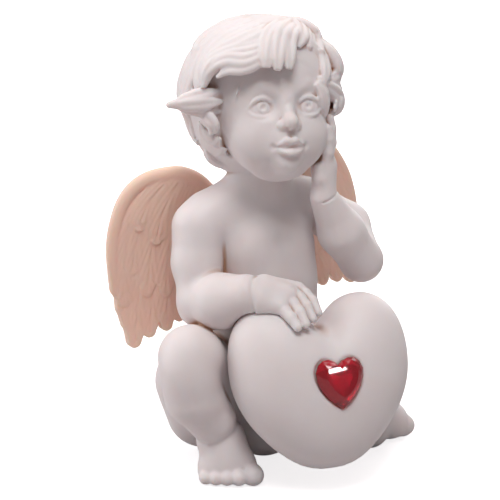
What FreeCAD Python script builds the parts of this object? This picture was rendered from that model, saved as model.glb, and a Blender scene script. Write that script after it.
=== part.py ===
# Seated cherub figurine in cast resin, holding a puffed heart set with a red stone.
#
# Row frame: millimetres, +Z up, the figure faces -Y and +X is its own left side.
# The origin is at floor level, under the middle of the whole figurine.
#
# Pieces: the figure casting, the heart casting, two wing castings with tenons,
# the faceted stone with its foil, and the cured adhesive in each of the four joints.
import FreeCAD, Part
import math, os

V = FreeCAD.Vector
doc = FreeCAD.newDocument("cherub_figurine")
sheet = doc.addObject("Spreadsheet::Sheet", "Dims")
_row = [0]
_val = {}


def cell(alias, value, note=""):
    """One driving dimension: a plain number with an alias."""
    _row[0] += 1
    n = _row[0]
    sheet.set("A%d" % n, alias.replace("_", " "))
    sheet.set("B%d" % n, "%.5g" % value)
    sheet.setAlias("B%d" % n, alias)
    if note:
        sheet.set("C%d" % n, note)
    _val[alias] = float("%.5g" % value)


def val(alias):
    return _val[alias]


# ---------------------------------------------------------------- driving sizes
cell("shift_x", 0.63, "moves the design so the figurine's box is centred on the origin")
cell("shift_y", 10.2, "moves the design so the figurine's box is centred on the origin")
cell("neck_in", 0.93, "a limb's cone is this much slimmer than the ball at its end")

# body landmarks: x, y, z, radius
BALLS = {
    "pelvis": (-1.0, 3.0, 11.0, 12.3),
    "seat_back": (-1.5, 6.5, 8.0, 9.6),
    "crotch": (-3.0, -4.5, 6.6, 7.2),
    "belly": (-0.8, -1.8, 27.5, 11.9),
    "waist": (-1.2, -0.6, 38.0, 10.4),
    "chest": (-2.0, -0.6, 48.5, 9.9),
    "r_blade": (-7.2, 4.4, 50.0, 4.7),
    "l_blade": (4.2, 4.4, 50.0, 4.7),
    "collar": (-2.4, -1.0, 56.0, 6.6),
    "nape": (-2.4, -2.5, 63.5, 5.4),
    "skull": (-2.8, -1.5, 81.3, 16.6),
    "face": (-1.6, -6.0, 76.0, 12.0),
    "jaw": (-0.9, -9.3, 70.4, 7.8),
    "nose": (-2.9, -18.4, 75.2, 1.9),
    "hair_front": (-3.4, -10.5, 89.5, 6.6),
    "hair_right": (-14.0, -6.0, 84.5, 7.0),
    "hair_left": (8.8, -6.0, 85.5, 7.0),
    "hair_left_low": (9.6, -3.5, 76.0, 6.0),
    "hair_right_low": (-12.0, -4.5, 72.5, 6.0),
    "flick_root": (-17.0, -3.0, 80.4, 3.2),
    "flick_tip": (-24.6, -2.2, 81.1, 0.9),
    "r_shoulder": (-16.3, 0.8, 52.4, 5.6),
    "r_elbow": (-18.6, -4.0, 37.6, 4.9),
    "r_forearm": (-17.0, -10.5, 39.2, 5.1),
    "r_wrist": (-13.2, -17.0, 41.8, 3.6),
    "r_palm": (-9.6, -20.4, 41.8, 3.6),
    "r_little_root": (-7.9, -22.8, 40.8, 1.9),
    "r_ring_root": (-5.8, -22.4, 41.4, 1.9),
    "r_middle_root": (-3.8, -21.8, 41.8, 1.9),
    "r_index_root": (-2.0, -20.8, 42.0, 1.9),
    "r_little_tip": (-8.2, -26.6, 36.8, 1.35),
    "r_ring_tip": (-6.2, -26.8, 37.2, 1.4),
    "r_middle_tip": (-3.9, -26.0, 37.9, 1.4),
    "r_index_tip": (-1.7, -24.5, 38.6, 1.4),
    "l_shoulder": (12.5, 0.5, 53.0, 5.4),
    "l_elbow": (17.0, -13.0, 43.3, 4.8),
    "l_forearm": (12.8, -13.5, 51.0, 4.6),
    "l_wrist": (7.9, -13.6, 59.0, 3.65),
    "l_palm": (8.8, -12.9, 65.6, 3.1),
    "l_index_tip": (9.4, -13.6, 75.2, 1.35),
    "l_middle_tip": (10.8, -11.6, 75.6, 1.4),
    "l_ring_tip": (11.8, -9.4, 74.4, 1.35),
    "r_hip": (-12.5, 4.5, 9.1, 9.5),
    "r_knee": (-24.5, -11.0, 28.5, 7.2),
    "r_calf": (-20.0, -9.5, 17.0, 5.9),
    "r_ankle": (-16.8, -11.0, 7.4, 3.9),
    "r_heel": (-13.6, -8.2, 3.9, 4.1),
    "r_ball": (-17.6, -14.6, 3.4, 4.1),
    "r_big_toe": (-14.6, -18.0, 2.2, 2.4),
    "r_mid_toe": (-18.0, -17.0, 2.0, 2.3),
    "r_little_toe": (-21.2, -14.6, 1.8, 2.0),
    "l_hip": (9.5, 5.0, 9.1, 9.5),
    "l_knee": (19.5, -12.0, 27.0, 7.2),
    "l_calf": (20.5, -8.5, 15.5, 6.0),
    "l_ankle": (19.8, -9.6, 7.6, 4.0),
    "l_heel": (18.6, -10.8, 3.7, 4.1),
    "l_ball": (25.2, -10.4, 3.5, 3.9),
    "l_big_toe": (29.6, -12.0, 2.2, 2.4),
    "l_mid_toe": (30.2, -9.2, 2.0, 2.2),
    "l_little_toe": (29.0, -6.6, 1.8, 2.0),
}
for key, (x, y, z, r) in BALLS.items():
    cell(key + "_x", x)
    cell(key + "_y", y)
    cell(key + "_z", z)
    cell(key + "_rad", r)

# the heart: centre, turn about Z, lean back, and its own outline
cell("heart_x", -0.5)
cell("heart_y", -23.0)
cell("heart_z", 21.9)
cell("heart_turn", -8.0, "degrees about Z")
cell("heart_lean", 18.0, "degrees that the face leans back")
cell("lobe_rad", 10.5)
cell("lobe_off", 9.2, "lobe centre from the heart's middle line")
cell("lobe_up", 7.1)
cell("side_rad", 10.2)
cell("side_off", 8.6)
cell("side_up", 0.6)
cell("flank_rad", 9.4)
cell("flank_off", 6.4)
cell("flank_down", 4.6)
cell("chin_rad", 7.6)
cell("chin_off", 3.4)
cell("chin_down", 9.4)
cell("tip_rad", 5.0)
cell("tip_down", 12.9)
cell("core_rad", 11.5, "half the heart's thickness")
cell("seam_gap", 0.2, "clearance between the heart and the figure")

# joints
cell("wing_tenon_rad", 2.2)
cell("wing_tenon_len", 7.5)
cell("wing_tenon_off", 5.6, "tenon from the middle of the back")
cell("wing_tenon_z", 50.0)
cell("heart_tenon_rad", 3.0)
cell("heart_tenon_len", 5.5)
cell("heart_tenon_up", 4.0, "tenon above the heart's centre")
cell("glue_gap", 0.35, "adhesive all round a tenon")

# wings
cell("wing_mid_x", -1.5, "middle of the back")
cell("wing_y", 9.3, "front face of the wing plate")
cell("wing_thick", 3.2)
cell("wing_sweep", 3.5, "degrees that a wing sweeps back")
cell("left_wing_roll", 12.0, "degrees that the left wing is turned outward at its foot")

# stone
cell("gem_half_w", 5.15)
cell("gem_up", 4.7)
cell("gem_down", 5.6)
cell("gem_girdle", 1.0, "girdle above the stone's flat back")
cell("gem_shoulder", 2.05)
cell("gem_table", 2.9)
cell("gem_drop", 0.6, "centre of the stone above the heart's centre")
cell("pocket_floor", 10.1, "pocket floor in front of the heart's centre plane")
cell("glue_bed", 0.3)
cell("foil_thick", 0.12)
cell("pocket_play", 0.25)
doc.recompute()

SX, SY = val("shift_x"), val("shift_y")


# ---------------------------------------------------------------- helpers
def at(key):
    return V(val(key + "_x") + SX, val(key + "_y") + SY, val(key + "_z"))


def bind_base(obj, key):
    obj.setExpression("Placement.Base.x", "Dims.%s_x + Dims.shift_x" % key)
    obj.setExpression("Placement.Base.y", "Dims.%s_y + Dims.shift_y" % key)
    obj.setExpression("Placement.Base.z", "Dims.%s_z" % key)


def ball(key):
    o = doc.addObject("Part::Sphere", "ball_" + key)
    o.setExpression("Radius", "Dims.%s_rad" % key)
    bind_base(o, key)
    return o


def limb(a, b):
    """Cone from ball a to ball b, a little slimmer than each."""
    o = doc.addObject("Part::Cone", "limb_%s_%s" % (a, b))
    d = at(b) - at(a)
    o.Placement = FreeCAD.Placement(at(a), FreeCAD.Rotation(V(0, 0, 1), d))
    bind_base(o, a)
    o.setExpression("Radius1", "Dims.%s_rad * Dims.neck_in" % a)
    o.setExpression("Radius2", "Dims.%s_rad * Dims.neck_in" % b)
    o.setExpression("Height", "sqrt((Dims.%s_x - Dims.%s_x)^2 + (Dims.%s_y - Dims.%s_y)^2"
                              " + (Dims.%s_z - Dims.%s_z)^2)" % (a, b, a, b, a, b))
    return o


def fuse(name, parts):
    o = doc.addObject("Part::MultiFuse", name)
    o.Shapes = parts
    return o


def cut(name, base, tool):
    o = doc.addObject("Part::Cut", name)
    o.Base = base
    o.Tool = tool
    return o


# ---------------------------------------------------------------- heart frame
# Local axes: x across the heart, -y out of its face, z up the face.
turn = FreeCAD.Rotation(V(0, 0, 1), val("heart_turn"))
lean = FreeCAD.Rotation(V(1, 0, 0), -val("heart_lean"))
HEART = FreeCAD.Placement(V(val("heart_x") + SX, val("heart_y") + SY, val("heart_z")),
                          turn.multiply(lean))


def in_heart(obj, x, y, z, rot=FreeCAD.Rotation()):
    obj.Placement = HEART.multiply(FreeCAD.Placement(V(x, y, z), rot))


# The puffed heart is a cluster of close balls joined by cones: lobes, core, flanks, tip.
HB = {
    "lobe_r": ("lobe_rad", (-val("lobe_off"), 0.0, val("lobe_up"))),
    "lobe_l": ("lobe_rad", (val("lobe_off"), 0.0, val("lobe_up"))),
    "side_r": ("side_rad", (-val("side_off"), 0.0, val("side_up"))),
    "side_l": ("side_rad", (val("side_off"), 0.0, val("side_up"))),
    "core": ("core_rad", (0.0, 0.0, -0.5)),
    "flank_r": ("flank_rad", (-val("flank_off"), 0.0, -val("flank_down"))),
    "flank_l": ("flank_rad", (val("flank_off"), 0.0, -val("flank_down"))),
    "chin_r": ("chin_rad", (-val("chin_off"), 0.0, -val("chin_down"))),
    "chin_l": ("chin_rad", (val("chin_off"), 0.0, -val("chin_down"))),
    "tip": ("tip_rad", (0.0, 0.0, -val("tip_down"))),
}


def heart_parts(prefix, grow):
    out = []
    for k, (alias, p) in HB.items():
        o = doc.addObject("Part::Sphere", prefix + "_" + k)
        o.setExpression("Radius", "Dims.%s%s" % (alias, grow))
        in_heart(o, *p)
        out.append(o)
    for a, b in (("lobe_r", "flank_r"), ("lobe_l", "flank_l"),
                 ("flank_r", "tip"), ("flank_l", "tip")):
        pa, pb = V(*HB[a][1]), V(*HB[b][1])
        o = doc.addObject("Part::Cone", "%s_%s_%s" % (prefix, a, b))
        o.Height = (pb - pa).Length
        o.setExpression("Radius1", "(Dims.%s%s) * Dims.neck_in" % (HB[a][0], grow))
        o.setExpression("Radius2", "(Dims.%s%s) * Dims.neck_in" % (HB[b][0], grow))
        in_heart(o, pa.x, pa.y, pa.z, FreeCAD.Rotation(V(0, 0, 1), pb - pa))
        out.append(o)
    return out


heart_blank = fuse("heart_blank", heart_parts("heart", ""))
heart_room = fuse("heart_room", heart_parts("room", " + Dims.seam_gap"))

# tenon on the heart's back, along its own +y
heart_tenon = doc.addObject("Part::Cylinder", "heart_tenon")
heart_tenon.setExpression("Radius", "Dims.heart_tenon_rad")
heart_tenon.setExpression("Height", "Dims.heart_tenon_len + 4")
TENON_ROOT = val("core_rad") - 4.0
in_heart(heart_tenon, 0, TENON_ROOT, val("heart_tenon_up"), FreeCAD.Rotation(V(0, 0, 1), V(0, 1, 0)))
heart_socket = doc.addObject("Part::Cylinder", "heart_socket")
heart_socket.setExpression("Radius", "Dims.heart_tenon_rad + Dims.glue_gap")
heart_socket.setExpression("Height", "Dims.heart_tenon_len + 4 + Dims.glue_gap")
in_heart(heart_socket, 0, TENON_ROOT, val("heart_tenon_up"), FreeCAD.Rotation(V(0, 0, 1), V(0, 1, 0)))

# ---------------------------------------------------------------- stone outline
def heart_outline(half_w, up, down, n_side):
    """Half outline of a heart, cleft first, tip last, as (x, z) pairs; then mirrored."""
    ctrl = [(0.0, 0.60), (0.24, 0.90), (0.55, 1.0), (0.83, 0.84), (1.0, 0.44),
            (0.93, -0.02), (0.70, -0.42), (0.36, -0.76), (0.0, -1.0)]
    right = []
    for u, w in ctrl:
        right.append((u * half_w, w * (up if w > 0 else down)))
    return right + [(-x, z) for x, z in right[-2:0:-1]]


gem_ring = heart_outline(val("gem_half_w"), val("gem_up"), val("gem_down"), 8)


def ring_at(scale, half_step=False):
    """The girdle ring scaled about a point a little above the stone's middle."""
    cz = 0.2
    pts = [(x * scale, cz + (z - cz) * scale) for x, z in gem_ring]
    if half_step:
        n = len(pts)
        pts = [((pts[i][0] + pts[(i + 1) % n][0]) / 2.0,
                (pts[i][1] + pts[(i + 1) % n][1]) / 2.0) for i in range(n)]
    return pts


def tri(a, b, c):
    return Part.Face(Part.makePolygon([a, b, c, a]))


def make_gem():
    base = val("pocket_floor") + val("glue_bed") + val("foil_thick")
    dz = val("gem_drop")

    def lift(ring, h):
        return [V(x, -(base + h), z + dz) for x, z in ring]

    back = lift(ring_at(0.93), 0.0)
    girdle = lift(ring_at(1.0), val("gem_girdle"))
    mid = lift(ring_at(0.86, True), val("gem_shoulder"))
    table = lift(ring_at(0.62), val("gem_table"))
    n = len(girdle)
    faces = [Part.Face(Part.makePolygon(back + [back[0]])),
             Part.Face(Part.makePolygon(table + [table[0]]))]
    for i in range(n):
        j = (i + 1) % n
        faces.append(tri(back[i], back[j], girdle[i]))
        faces.append(tri(back[j], girdle[j], girdle[i]))
        faces.append(tri(girdle[i], girdle[j], mid[i]))
        faces.append(tri(girdle[j], mid[j], mid[i]))
        faces.append(tri(mid[i], mid[j], table[j]))
        faces.append(tri(mid[i], table[j], table[i]))
    s = Part.makeSolid(Part.makeShell(faces))
    if s.Volume < 0:
        s.reverse()
    return s


def slab(scale, extra, y0, thick):
    """A flat heart-shaped slab; y0 is its back, in front of the heart's centre plane."""
    dz = val("gem_drop")
    k = scale + extra / val("gem_half_w")
    pts = [V(x, -y0, z + dz) for x, z in ring_at(k)]
    f = Part.Face(Part.makePolygon(pts + [pts[0]]))
    return f.extrude(V(0, -thick, 0))


gem = doc.addObject("Part::Feature", "heart_gem")
gem.Shape = make_gem()
gem.Placement = HEART

foil = doc.addObject("Part::Feature", "gem_foil")
foil.Shape = slab(0.93, 0.0, val("pocket_floor") + val("glue_bed"), val("foil_thick"))
foil.Placement = HEART

bed = doc.addObject("Part::Feature", "gem_adhesive")
bed.Shape = slab(0.93, 0.0, val("pocket_floor"), val("glue_bed"))
bed.Placement = HEART

pocket = doc.addObject("Part::Feature", "gem_pocket")
pocket.Shape = slab(1.0, val("pocket_play"), val("pocket_floor"), 6.0)
pocket.Placement = HEART

# heart casting = blank + tenon - pocket
heart_stock = fuse("heart_stock", [heart_blank, heart_tenon])
heart = cut("heart_casting", heart_stock, pocket)

# ---------------------------------------------------------------- figure casting
head = fuse("head", [ball(k) for k in ("skull", "face", "jaw", "nose", "hair_front",
                                       "hair_right", "hair_left", "hair_left_low",
                                       "hair_right_low", "flick_root", "flick_tip")]
            + [limb("flick_root", "flick_tip")])
torso = fuse("torso", [ball(k) for k in ("pelvis", "seat_back", "crotch", "belly", "waist",
                                         "chest", "r_blade", "l_blade", "collar", "nape")]
             + [limb("pelvis", "belly"), limb("belly", "waist"), limb("waist", "chest"),
                limb("chest", "collar"), limb("collar", "nape"), limb("nape", "face")])


def chain(name, keys, extra=()):
    parts = [ball(k) for k in keys]
    parts += [limb(a, b) for a, b in zip(keys[:-1], keys[1:])]
    parts += [limb(a, b) for a, b in extra]
    return fuse(name, parts)


right_arm = chain("right_arm", ["r_shoulder", "r_elbow", "r_forearm", "r_wrist", "r_palm"],
                  [("r_shoulder", "chest")])
right_fingers = fuse("right_fingers", [
    o for f in ("little", "ring", "middle", "index")
    for o in (ball("r_%s_root" % f), ball("r_%s_tip" % f),
              limb("r_palm", "r_%s_root" % f), limb("r_%s_root" % f, "r_%s_tip" % f))])
left_arm = chain("left_arm", ["l_shoulder", "l_elbow", "l_forearm", "l_wrist", "l_palm"],
                 [("l_shoulder", "chest")])
left_fingers = fuse("left_fingers", [
    o for f in ("index", "middle", "ring")
    for o in (ball("l_%s_tip" % f), limb("l_palm", "l_%s_tip" % f))])
right_leg = chain("right_leg", ["r_hip", "r_knee", "r_calf", "r_ankle", "r_ball"])
right_foot = fuse("right_foot", [ball("r_heel"), limb("r_heel", "r_ball"), limb("r_ankle", "r_heel")] + [
    o for f in ("big", "mid", "little")
    for o in (ball("r_%s_toe" % f), limb("r_ball", "r_%s_toe" % f))])
left_leg = chain("left_leg", ["l_hip", "l_knee", "l_calf", "l_ankle", "l_ball"])
left_foot = fuse("left_foot", [ball("l_heel"), limb("l_heel", "l_ball"), limb("l_ankle", "l_heel")] + [
    o for f in ("big", "mid", "little")
    for o in (ball("l_%s_toe" % f), limb("l_ball", "l_%s_toe" % f))])

body_a = fuse("body_a", [torso, head])
hand_r = fuse("arm_and_hand_r", [right_arm, right_fingers])
hand_l = fuse("arm_and_hand_l", [left_arm, left_fingers])
body_b = fuse("body_b", [hand_r, hand_l])
leg_r = fuse("leg_and_foot_r", [right_leg, right_foot])
leg_l = fuse("leg_and_foot_l", [left_leg, left_foot])
body_c = fuse("body_c", [leg_r, leg_l])
body_d = fuse("body_d", [body_a, body_b])
figure_blank = fuse("figure_blank", [body_d, body_c])

floor = doc.addObject("Part::Box", "floor_trim")
floor.Length, floor.Width, floor.Height = 160, 160, 30
floor.Placement = FreeCAD.Placement(V(-80, -80, -30), FreeCAD.Rotation())


def wing_socket(side):
    """Blind hole in the back for a wing's tenon, along Y; side is -1 right, +1 left."""
    tag = "right" if side < 0 else "left"
    x = val("wing_mid_x") + side * val("wing_tenon_off") + SX
    o = doc.addObject("Part::Cylinder", tag + "_socket")
    o.setExpression("Radius", "Dims.wing_tenon_rad + Dims.glue_gap")
    o.setExpression("Height", "Dims.wing_tenon_len + Dims.glue_gap")
    o.Placement = FreeCAD.Placement(V(x, val("wing_y") + SY, val("wing_tenon_z")),
                                    FreeCAD.Rotation(V(0, 0, 1), V(0, -1, 0)))
    return o


r_socket = wing_socket(-1)
l_socket = wing_socket(1)
room = fuse("room_tools", [heart_room, heart_socket])
carve_1 = cut("figure_on_floor", figure_blank, floor)
carve_2 = cut("figure_right_socket", carve_1, r_socket)
carve_3 = cut("figure_left_socket", carve_2, l_socket)
figure = cut("figure_casting", carve_3, room)

# ---------------------------------------------------------------- wings
# Outline of a wing: distance out from the middle of the back, and height.
OUT = [(4.5, 55.0), (8.0, 61.0), (13.0, 64.0), (18.0, 63.8), (23.5, 60.5), (28.0, 55.5),
       (31.0, 50.0), (32.0, 45.0), (31.2, 38.0), (29.0, 31.0), (26.0, 25.0), (23.8, 23.0),
       (21.8, 24.2), (20.0, 27.4), (16.5, 29.5), (12.5, 32.0), (8.0, 37.0), (4.8, 45.0)]


def wing(side):
    tag = "right" if side < 0 else "left"
    roll = 0.0 if side < 0 else math.radians(val("left_wing_roll"))
    pts = []
    for a, z in OUT:
        da, dz = a - 5.0, z - 50.0
        a2 = 5.0 + da * math.cos(roll) - dz * math.sin(roll)
        z2 = 50.0 + da * math.sin(roll) + dz * math.cos(roll)
        pts.append((max(a2, 3.2), z2))
    body = doc.addObject("PartDesign::Body", tag + "_wing")
    sk = body.newObject("Sketcher::SketchObject", tag + "_wing_outline")
    xz = [f for f in body.Origin.OriginFeatures if f.Role == "XZ_Plane"][0]
    sk.AttachmentSupport = [(xz, "")]
    sk.MapMode = "FlatFace"
    spl = Part.BSplineCurve()
    spl.interpolate([V(side * a, z, 0) for a, z in pts], PeriodicFlag=True)
    sk.addGeometry(spl, False)
    doc.recompute()
    pad = body.newObject("PartDesign::Pad", tag + "_wing_pad")
    pad.Profile = sk
    pad.setExpression("Length", "Dims.wing_thick")
    pad.Reversed = True
    doc.recompute()
    # tenon, on the same origin plane, out of the plate's front
    tk = body.newObject("Sketcher::SketchObject", tag + "_tenon_circle")
    tk.AttachmentSupport = [(xz, "")]
    tk.MapMode = "FlatFace"
    g = tk.addGeometry(Part.Circle(V(side * val("wing_tenon_off"), val("wing_tenon_z"), 0),
                                   V(0, 0, 1), val("wing_tenon_rad")), False)
    import Sketcher
    tk.addConstraint(Sketcher.Constraint("Radius", g, val("wing_tenon_rad")))
    tk.setExpression("Constraints[0]", "Dims.wing_tenon_rad")
    doc.recompute()
    ten = body.newObject("PartDesign::Pad", tag + "_tenon_pad")
    ten.Profile = tk
    ten.setExpression("Length", "Dims.wing_tenon_len")
    ten.Reversed = False
    doc.recompute()
    ext = ten.Shape.BoundBox
    if ext.YMin > -val("wing_tenon_len") + 0.01:
        raise RuntimeError(tag + " tenon points the wrong way: %r" % ext)
    if ext.YMax < val("wing_thick") - 0.01:
        raise RuntimeError(tag + " plate points the wrong way: %r" % ext)
    body.Placement = FreeCAD.Placement(
        V(val("wing_mid_x") + SX, val("wing_y") + SY, 0), FreeCAD.Rotation())
    return body


right_wing = wing(-1)
left_wing = wing(1)

# ---------------------------------------------------------------- adhesive in the joints
def glue_cup(name, tenon_len, tenon_rad, trim, place):
    """Cured adhesive round a tenon and past its end, trimmed to the inside of the figure."""
    outer = doc.addObject("Part::Cylinder", name + "_outer")
    outer.setExpression("Radius", "Dims.%s + Dims.glue_gap" % tenon_rad)
    outer.setExpression("Height", "Dims.%s + Dims.glue_gap - %g" % (tenon_len, trim))
    inner = doc.addObject("Part::Cylinder", name + "_inner")
    inner.setExpression("Radius", "Dims.%s" % tenon_rad)
    inner.setExpression("Height", "Dims.%s - %g" % (tenon_len, trim))
    for o in (outer, inner):
        o.Placement = place
    return cut(name, outer, inner)


WT = 1.2  # the adhesive starts this far inside the shoulder-blade pad


def wing_glue(side):
    tag = "right" if side < 0 else "left"
    x = val("wing_mid_x") + side * val("wing_tenon_off") + SX
    p = FreeCAD.Placement(V(x, val("wing_y") - WT + SY, val("wing_tenon_z")),
                          FreeCAD.Rotation(V(0, 0, 1), V(0, -1, 0)))
    return glue_cup(tag + "_wing_adhesive", "wing_tenon_len", "wing_tenon_rad", WT, p)


r_glue = wing_glue(-1)
l_glue = wing_glue(1)
HT = 0.6
h_place = HEART.multiply(FreeCAD.Placement(V(0, val("core_rad") + HT, val("heart_tenon_up")),
                                           FreeCAD.Rotation(V(0, 0, 1), V(0, 1, 0))))
h_glue = glue_cup("heart_adhesive", "heart_tenon_len", "heart_tenon_rad", HT, h_place)

doc.recompute()

# ---------------------------------------------------------------- check and write
NODES = {
    "figure_casting": figure,
    "heart_casting": heart,
    "right_wing": right_wing,
    "left_wing": left_wing,
    "heart_gem": gem,
    "gem_foil": foil,
    "gem_adhesive": bed,
    "heart_adhesive": h_glue,
    "right_wing_adhesive": r_glue,
    "left_wing_adhesive": l_glue,
}
for name, o in NODES.items():
    o.Label = name

for o in doc.Objects:
    if "Invalid" in o.State or "Error" in o.State:
        raise RuntimeError("object failed: %s %s" % (o.Name, o.State))
for name, o in NODES.items():
    s = o.Shape
    if s.isNull() or not s.isValid():
        raise RuntimeError("bad shape: " + name)
    if len(s.Solids) != 1:
        raise RuntimeError("%s has %d solids" % (name, len(s.Solids)))

os.makedirs("parts", exist_ok=True)
box = FreeCAD.BoundBox()
for name, o in NODES.items():
    o.Shape.exportStep("parts/%s.step" % name)
    b = o.Shape.BoundBox
    box.add(b)
    print("%-20s vol %9.2f  x %7.2f %7.2f  y %7.2f %7.2f  z %7.2f %7.2f" % (
        name, o.Shape.Volume, b.XMin, b.XMax, b.YMin, b.YMax, b.ZMin, b.ZMax))
print("box centre %.3f %.3f  size %.2f %.2f %.2f" % (
    (box.XMin + box.XMax) / 2, (box.YMin + box.YMax) / 2, box.XLength, box.YLength, box.ZLength))
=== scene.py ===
# Seated cherub figurine in cast resin with a puffed heart and a faceted red stone.
# Every sculpted piece is modelled as a signed distance field in design millimetres,
# meshed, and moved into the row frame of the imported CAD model.
import bpy, math
import numpy as np
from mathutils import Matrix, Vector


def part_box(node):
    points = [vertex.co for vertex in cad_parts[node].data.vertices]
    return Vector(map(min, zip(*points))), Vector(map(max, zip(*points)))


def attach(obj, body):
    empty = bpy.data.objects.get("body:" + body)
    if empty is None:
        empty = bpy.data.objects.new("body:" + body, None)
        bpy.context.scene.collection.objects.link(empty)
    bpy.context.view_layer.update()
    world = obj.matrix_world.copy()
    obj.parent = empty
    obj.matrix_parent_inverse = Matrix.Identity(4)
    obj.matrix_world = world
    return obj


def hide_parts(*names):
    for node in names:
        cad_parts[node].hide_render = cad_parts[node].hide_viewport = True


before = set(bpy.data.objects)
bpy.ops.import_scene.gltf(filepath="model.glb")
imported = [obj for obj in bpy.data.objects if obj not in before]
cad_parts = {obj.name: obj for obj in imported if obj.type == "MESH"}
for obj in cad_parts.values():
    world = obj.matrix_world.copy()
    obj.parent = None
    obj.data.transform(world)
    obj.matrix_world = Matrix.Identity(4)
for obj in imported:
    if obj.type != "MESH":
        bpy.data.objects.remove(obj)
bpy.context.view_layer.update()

import openvdb

GEM_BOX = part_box("heart_gem")

# ---------------------------------------------------------------- where the design sits
# The design is laid out about the figure's seat; the row frame is centred on the whole
# box. The stone's own box, known in both, gives the shift between them.
GEM_MID_DESIGN = (-1.91, -33.76, 25.60)
SHIFT = np.array([(GEM_BOX[0][i] + GEM_BOX[1][i]) * 500.0 - GEM_MID_DESIGN[i] for i in range(3)])
V3 = lambda *a: np.array(a, float)


def rot(turn, pitch, roll=0.0):
    """Turn about Z, then pitch the -Y face up, then roll; degrees."""
    t, p, r = (math.radians(x) for x in (turn, -pitch, roll))
    rz = np.array([[math.cos(t), -math.sin(t), 0], [math.sin(t), math.cos(t), 0], [0, 0, 1]])
    rx = np.array([[1, 0, 0], [0, math.cos(p), -math.sin(p)], [0, math.sin(p), math.cos(p)]])
    ry = np.array([[math.cos(r), 0, math.sin(r)], [0, 1, 0], [-math.sin(r), 0, math.cos(r)]])
    return rz @ rx @ ry


def smin(a, b, k):
    if k <= 0:
        return np.minimum(a, b)
    g = np.maximum(k - np.abs(a - b), 0.0) / k
    return np.minimum(a, b) - g * g * (k * 0.25)


def smax(a, b, k):
    return -smin(-a, -b, k)


# Primitives: each is (function of X, Y, Z, low corner, high corner).
def ball(c, r):
    c = V3(*c)
    f = lambda X, Y, Z: np.sqrt((X - c[0]) ** 2 + (Y - c[1]) ** 2 + (Z - c[2]) ** 2) - r
    return f, c - r, c + r


def ell(c, radii, R=None):
    """Ellipsoid; R's columns are its own axes."""
    c = V3(*c)
    R = np.eye(3) if R is None else R
    a, b, d = radii
    ext = np.sqrt(((R * np.array(radii)) ** 2).sum(1))

    def f(X, Y, Z):
        x, y, z = X - c[0], Y - c[1], Z - c[2]
        u = x * R[0, 0] + y * R[1, 0] + z * R[2, 0]
        v = x * R[0, 1] + y * R[1, 1] + z * R[2, 1]
        w = x * R[0, 2] + y * R[1, 2] + z * R[2, 2]
        k0 = np.sqrt((u / a) ** 2 + (v / b) ** 2 + (w / d) ** 2)
        k1 = np.sqrt((u / a ** 2) ** 2 + (v / b ** 2) ** 2 + (w / d ** 2) ** 2) + 1e-6
        return k0 * (k0 - 1.0) / k1
    return f, c - ext, c + ext


def cone(a, b, ra, rb):
    """Rounded cone from a to b."""
    a, b = V3(*a), V3(*b)
    ba = b - a
    l2 = float(ba @ ba)
    rr = ra - rb
    a2 = l2 - rr * rr
    il2 = 1.0 / l2
    lo = np.minimum(a - ra, b - rb)
    hi = np.maximum(a + ra, b + rb)

    def f(X, Y, Z):
        x, y, z = X - a[0], Y - a[1], Z - a[2]
        h = x * ba[0] + y * ba[1] + z * ba[2]
        g = h - l2
        x2 = (x * l2 - ba[0] * h) ** 2 + (y * l2 - ba[1] * h) ** 2 + (z * l2 - ba[2] * h) ** 2
        h2 = h * h * l2
        g2 = g * g * l2
        k = np.sign(rr) * rr * rr * x2
        d1 = np.sqrt(x2 + g2) * il2 - rb
        d2 = np.sqrt(x2 + h2) * il2 - ra
        d3 = (np.sqrt(x2 * a2 * il2) + h * rr) * il2 - ra
        return np.where(np.sign(g) * a2 * g2 > k, d1, np.where(np.sign(h) * a2 * h2 < k, d2, d3))
    return f, lo, hi


def spline(P, n):
    """Points along a Catmull-Rom curve through P."""
    P = np.array(P, float)
    Q = np.vstack([2 * P[0] - P[1], P, 2 * P[-1] - P[-2]])
    m = len(P) - 1
    out = []
    for s in np.linspace(0, m, n):
        i = min(int(s), m - 1)
        t = s - i
        p0, p1, p2, p3 = Q[i], Q[i + 1], Q[i + 2], Q[i + 3]
        out.append(0.5 * (2 * p1 + (p2 - p0) * t + (2 * p0 - 5 * p1 + 4 * p2 - p3) * t * t
                          + (3 * p1 - p0 - 3 * p2 + p3) * t ** 3))
    return np.array(out)


def tube(P, R):
    """A run of capsules through points P with radii R."""
    P = np.array(P, float)
    R = np.broadcast_to(np.array(R, float), (len(P),))
    lo = (P - R[:, None]).min(0)
    hi = (P + R[:, None]).max(0)

    def f(X, Y, Z):
        d = None
        for i in range(len(P) - 1):
            a, ba = P[i], P[i + 1] - P[i]
            l2 = max(float(ba @ ba), 1e-9)
            x, y, z = X - a[0], Y - a[1], Z - a[2]
            h = np.clip((x * ba[0] + y * ba[1] + z * ba[2]) / l2, 0, 1)
            e = np.sqrt((x - ba[0] * h) ** 2 + (y - ba[1] * h) ** 2 + (z - ba[2] * h) ** 2)
            e = e - (R[i] + (R[i + 1] - R[i]) * h)
            d = e if d is None else np.minimum(d, e)
        return d
    return f, lo, hi


def ring(c, n, R, r):
    """Torus of radius R about c, normal n, wire r."""
    c, n = V3(*c), V3(*n)
    n = n / np.linalg.norm(n)

    def f(X, Y, Z):
        x, y, z = X - c[0], Y - c[1], Z - c[2]
        h = x * n[0] + y * n[1] + z * n[2]
        q = np.sqrt(np.maximum(x * x + y * y + z * z - h * h, 0))
        return np.sqrt((q - R) ** 2 + h * h) - r
    return f, c - R - r, c + R + r


FAR = 5.0


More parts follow.
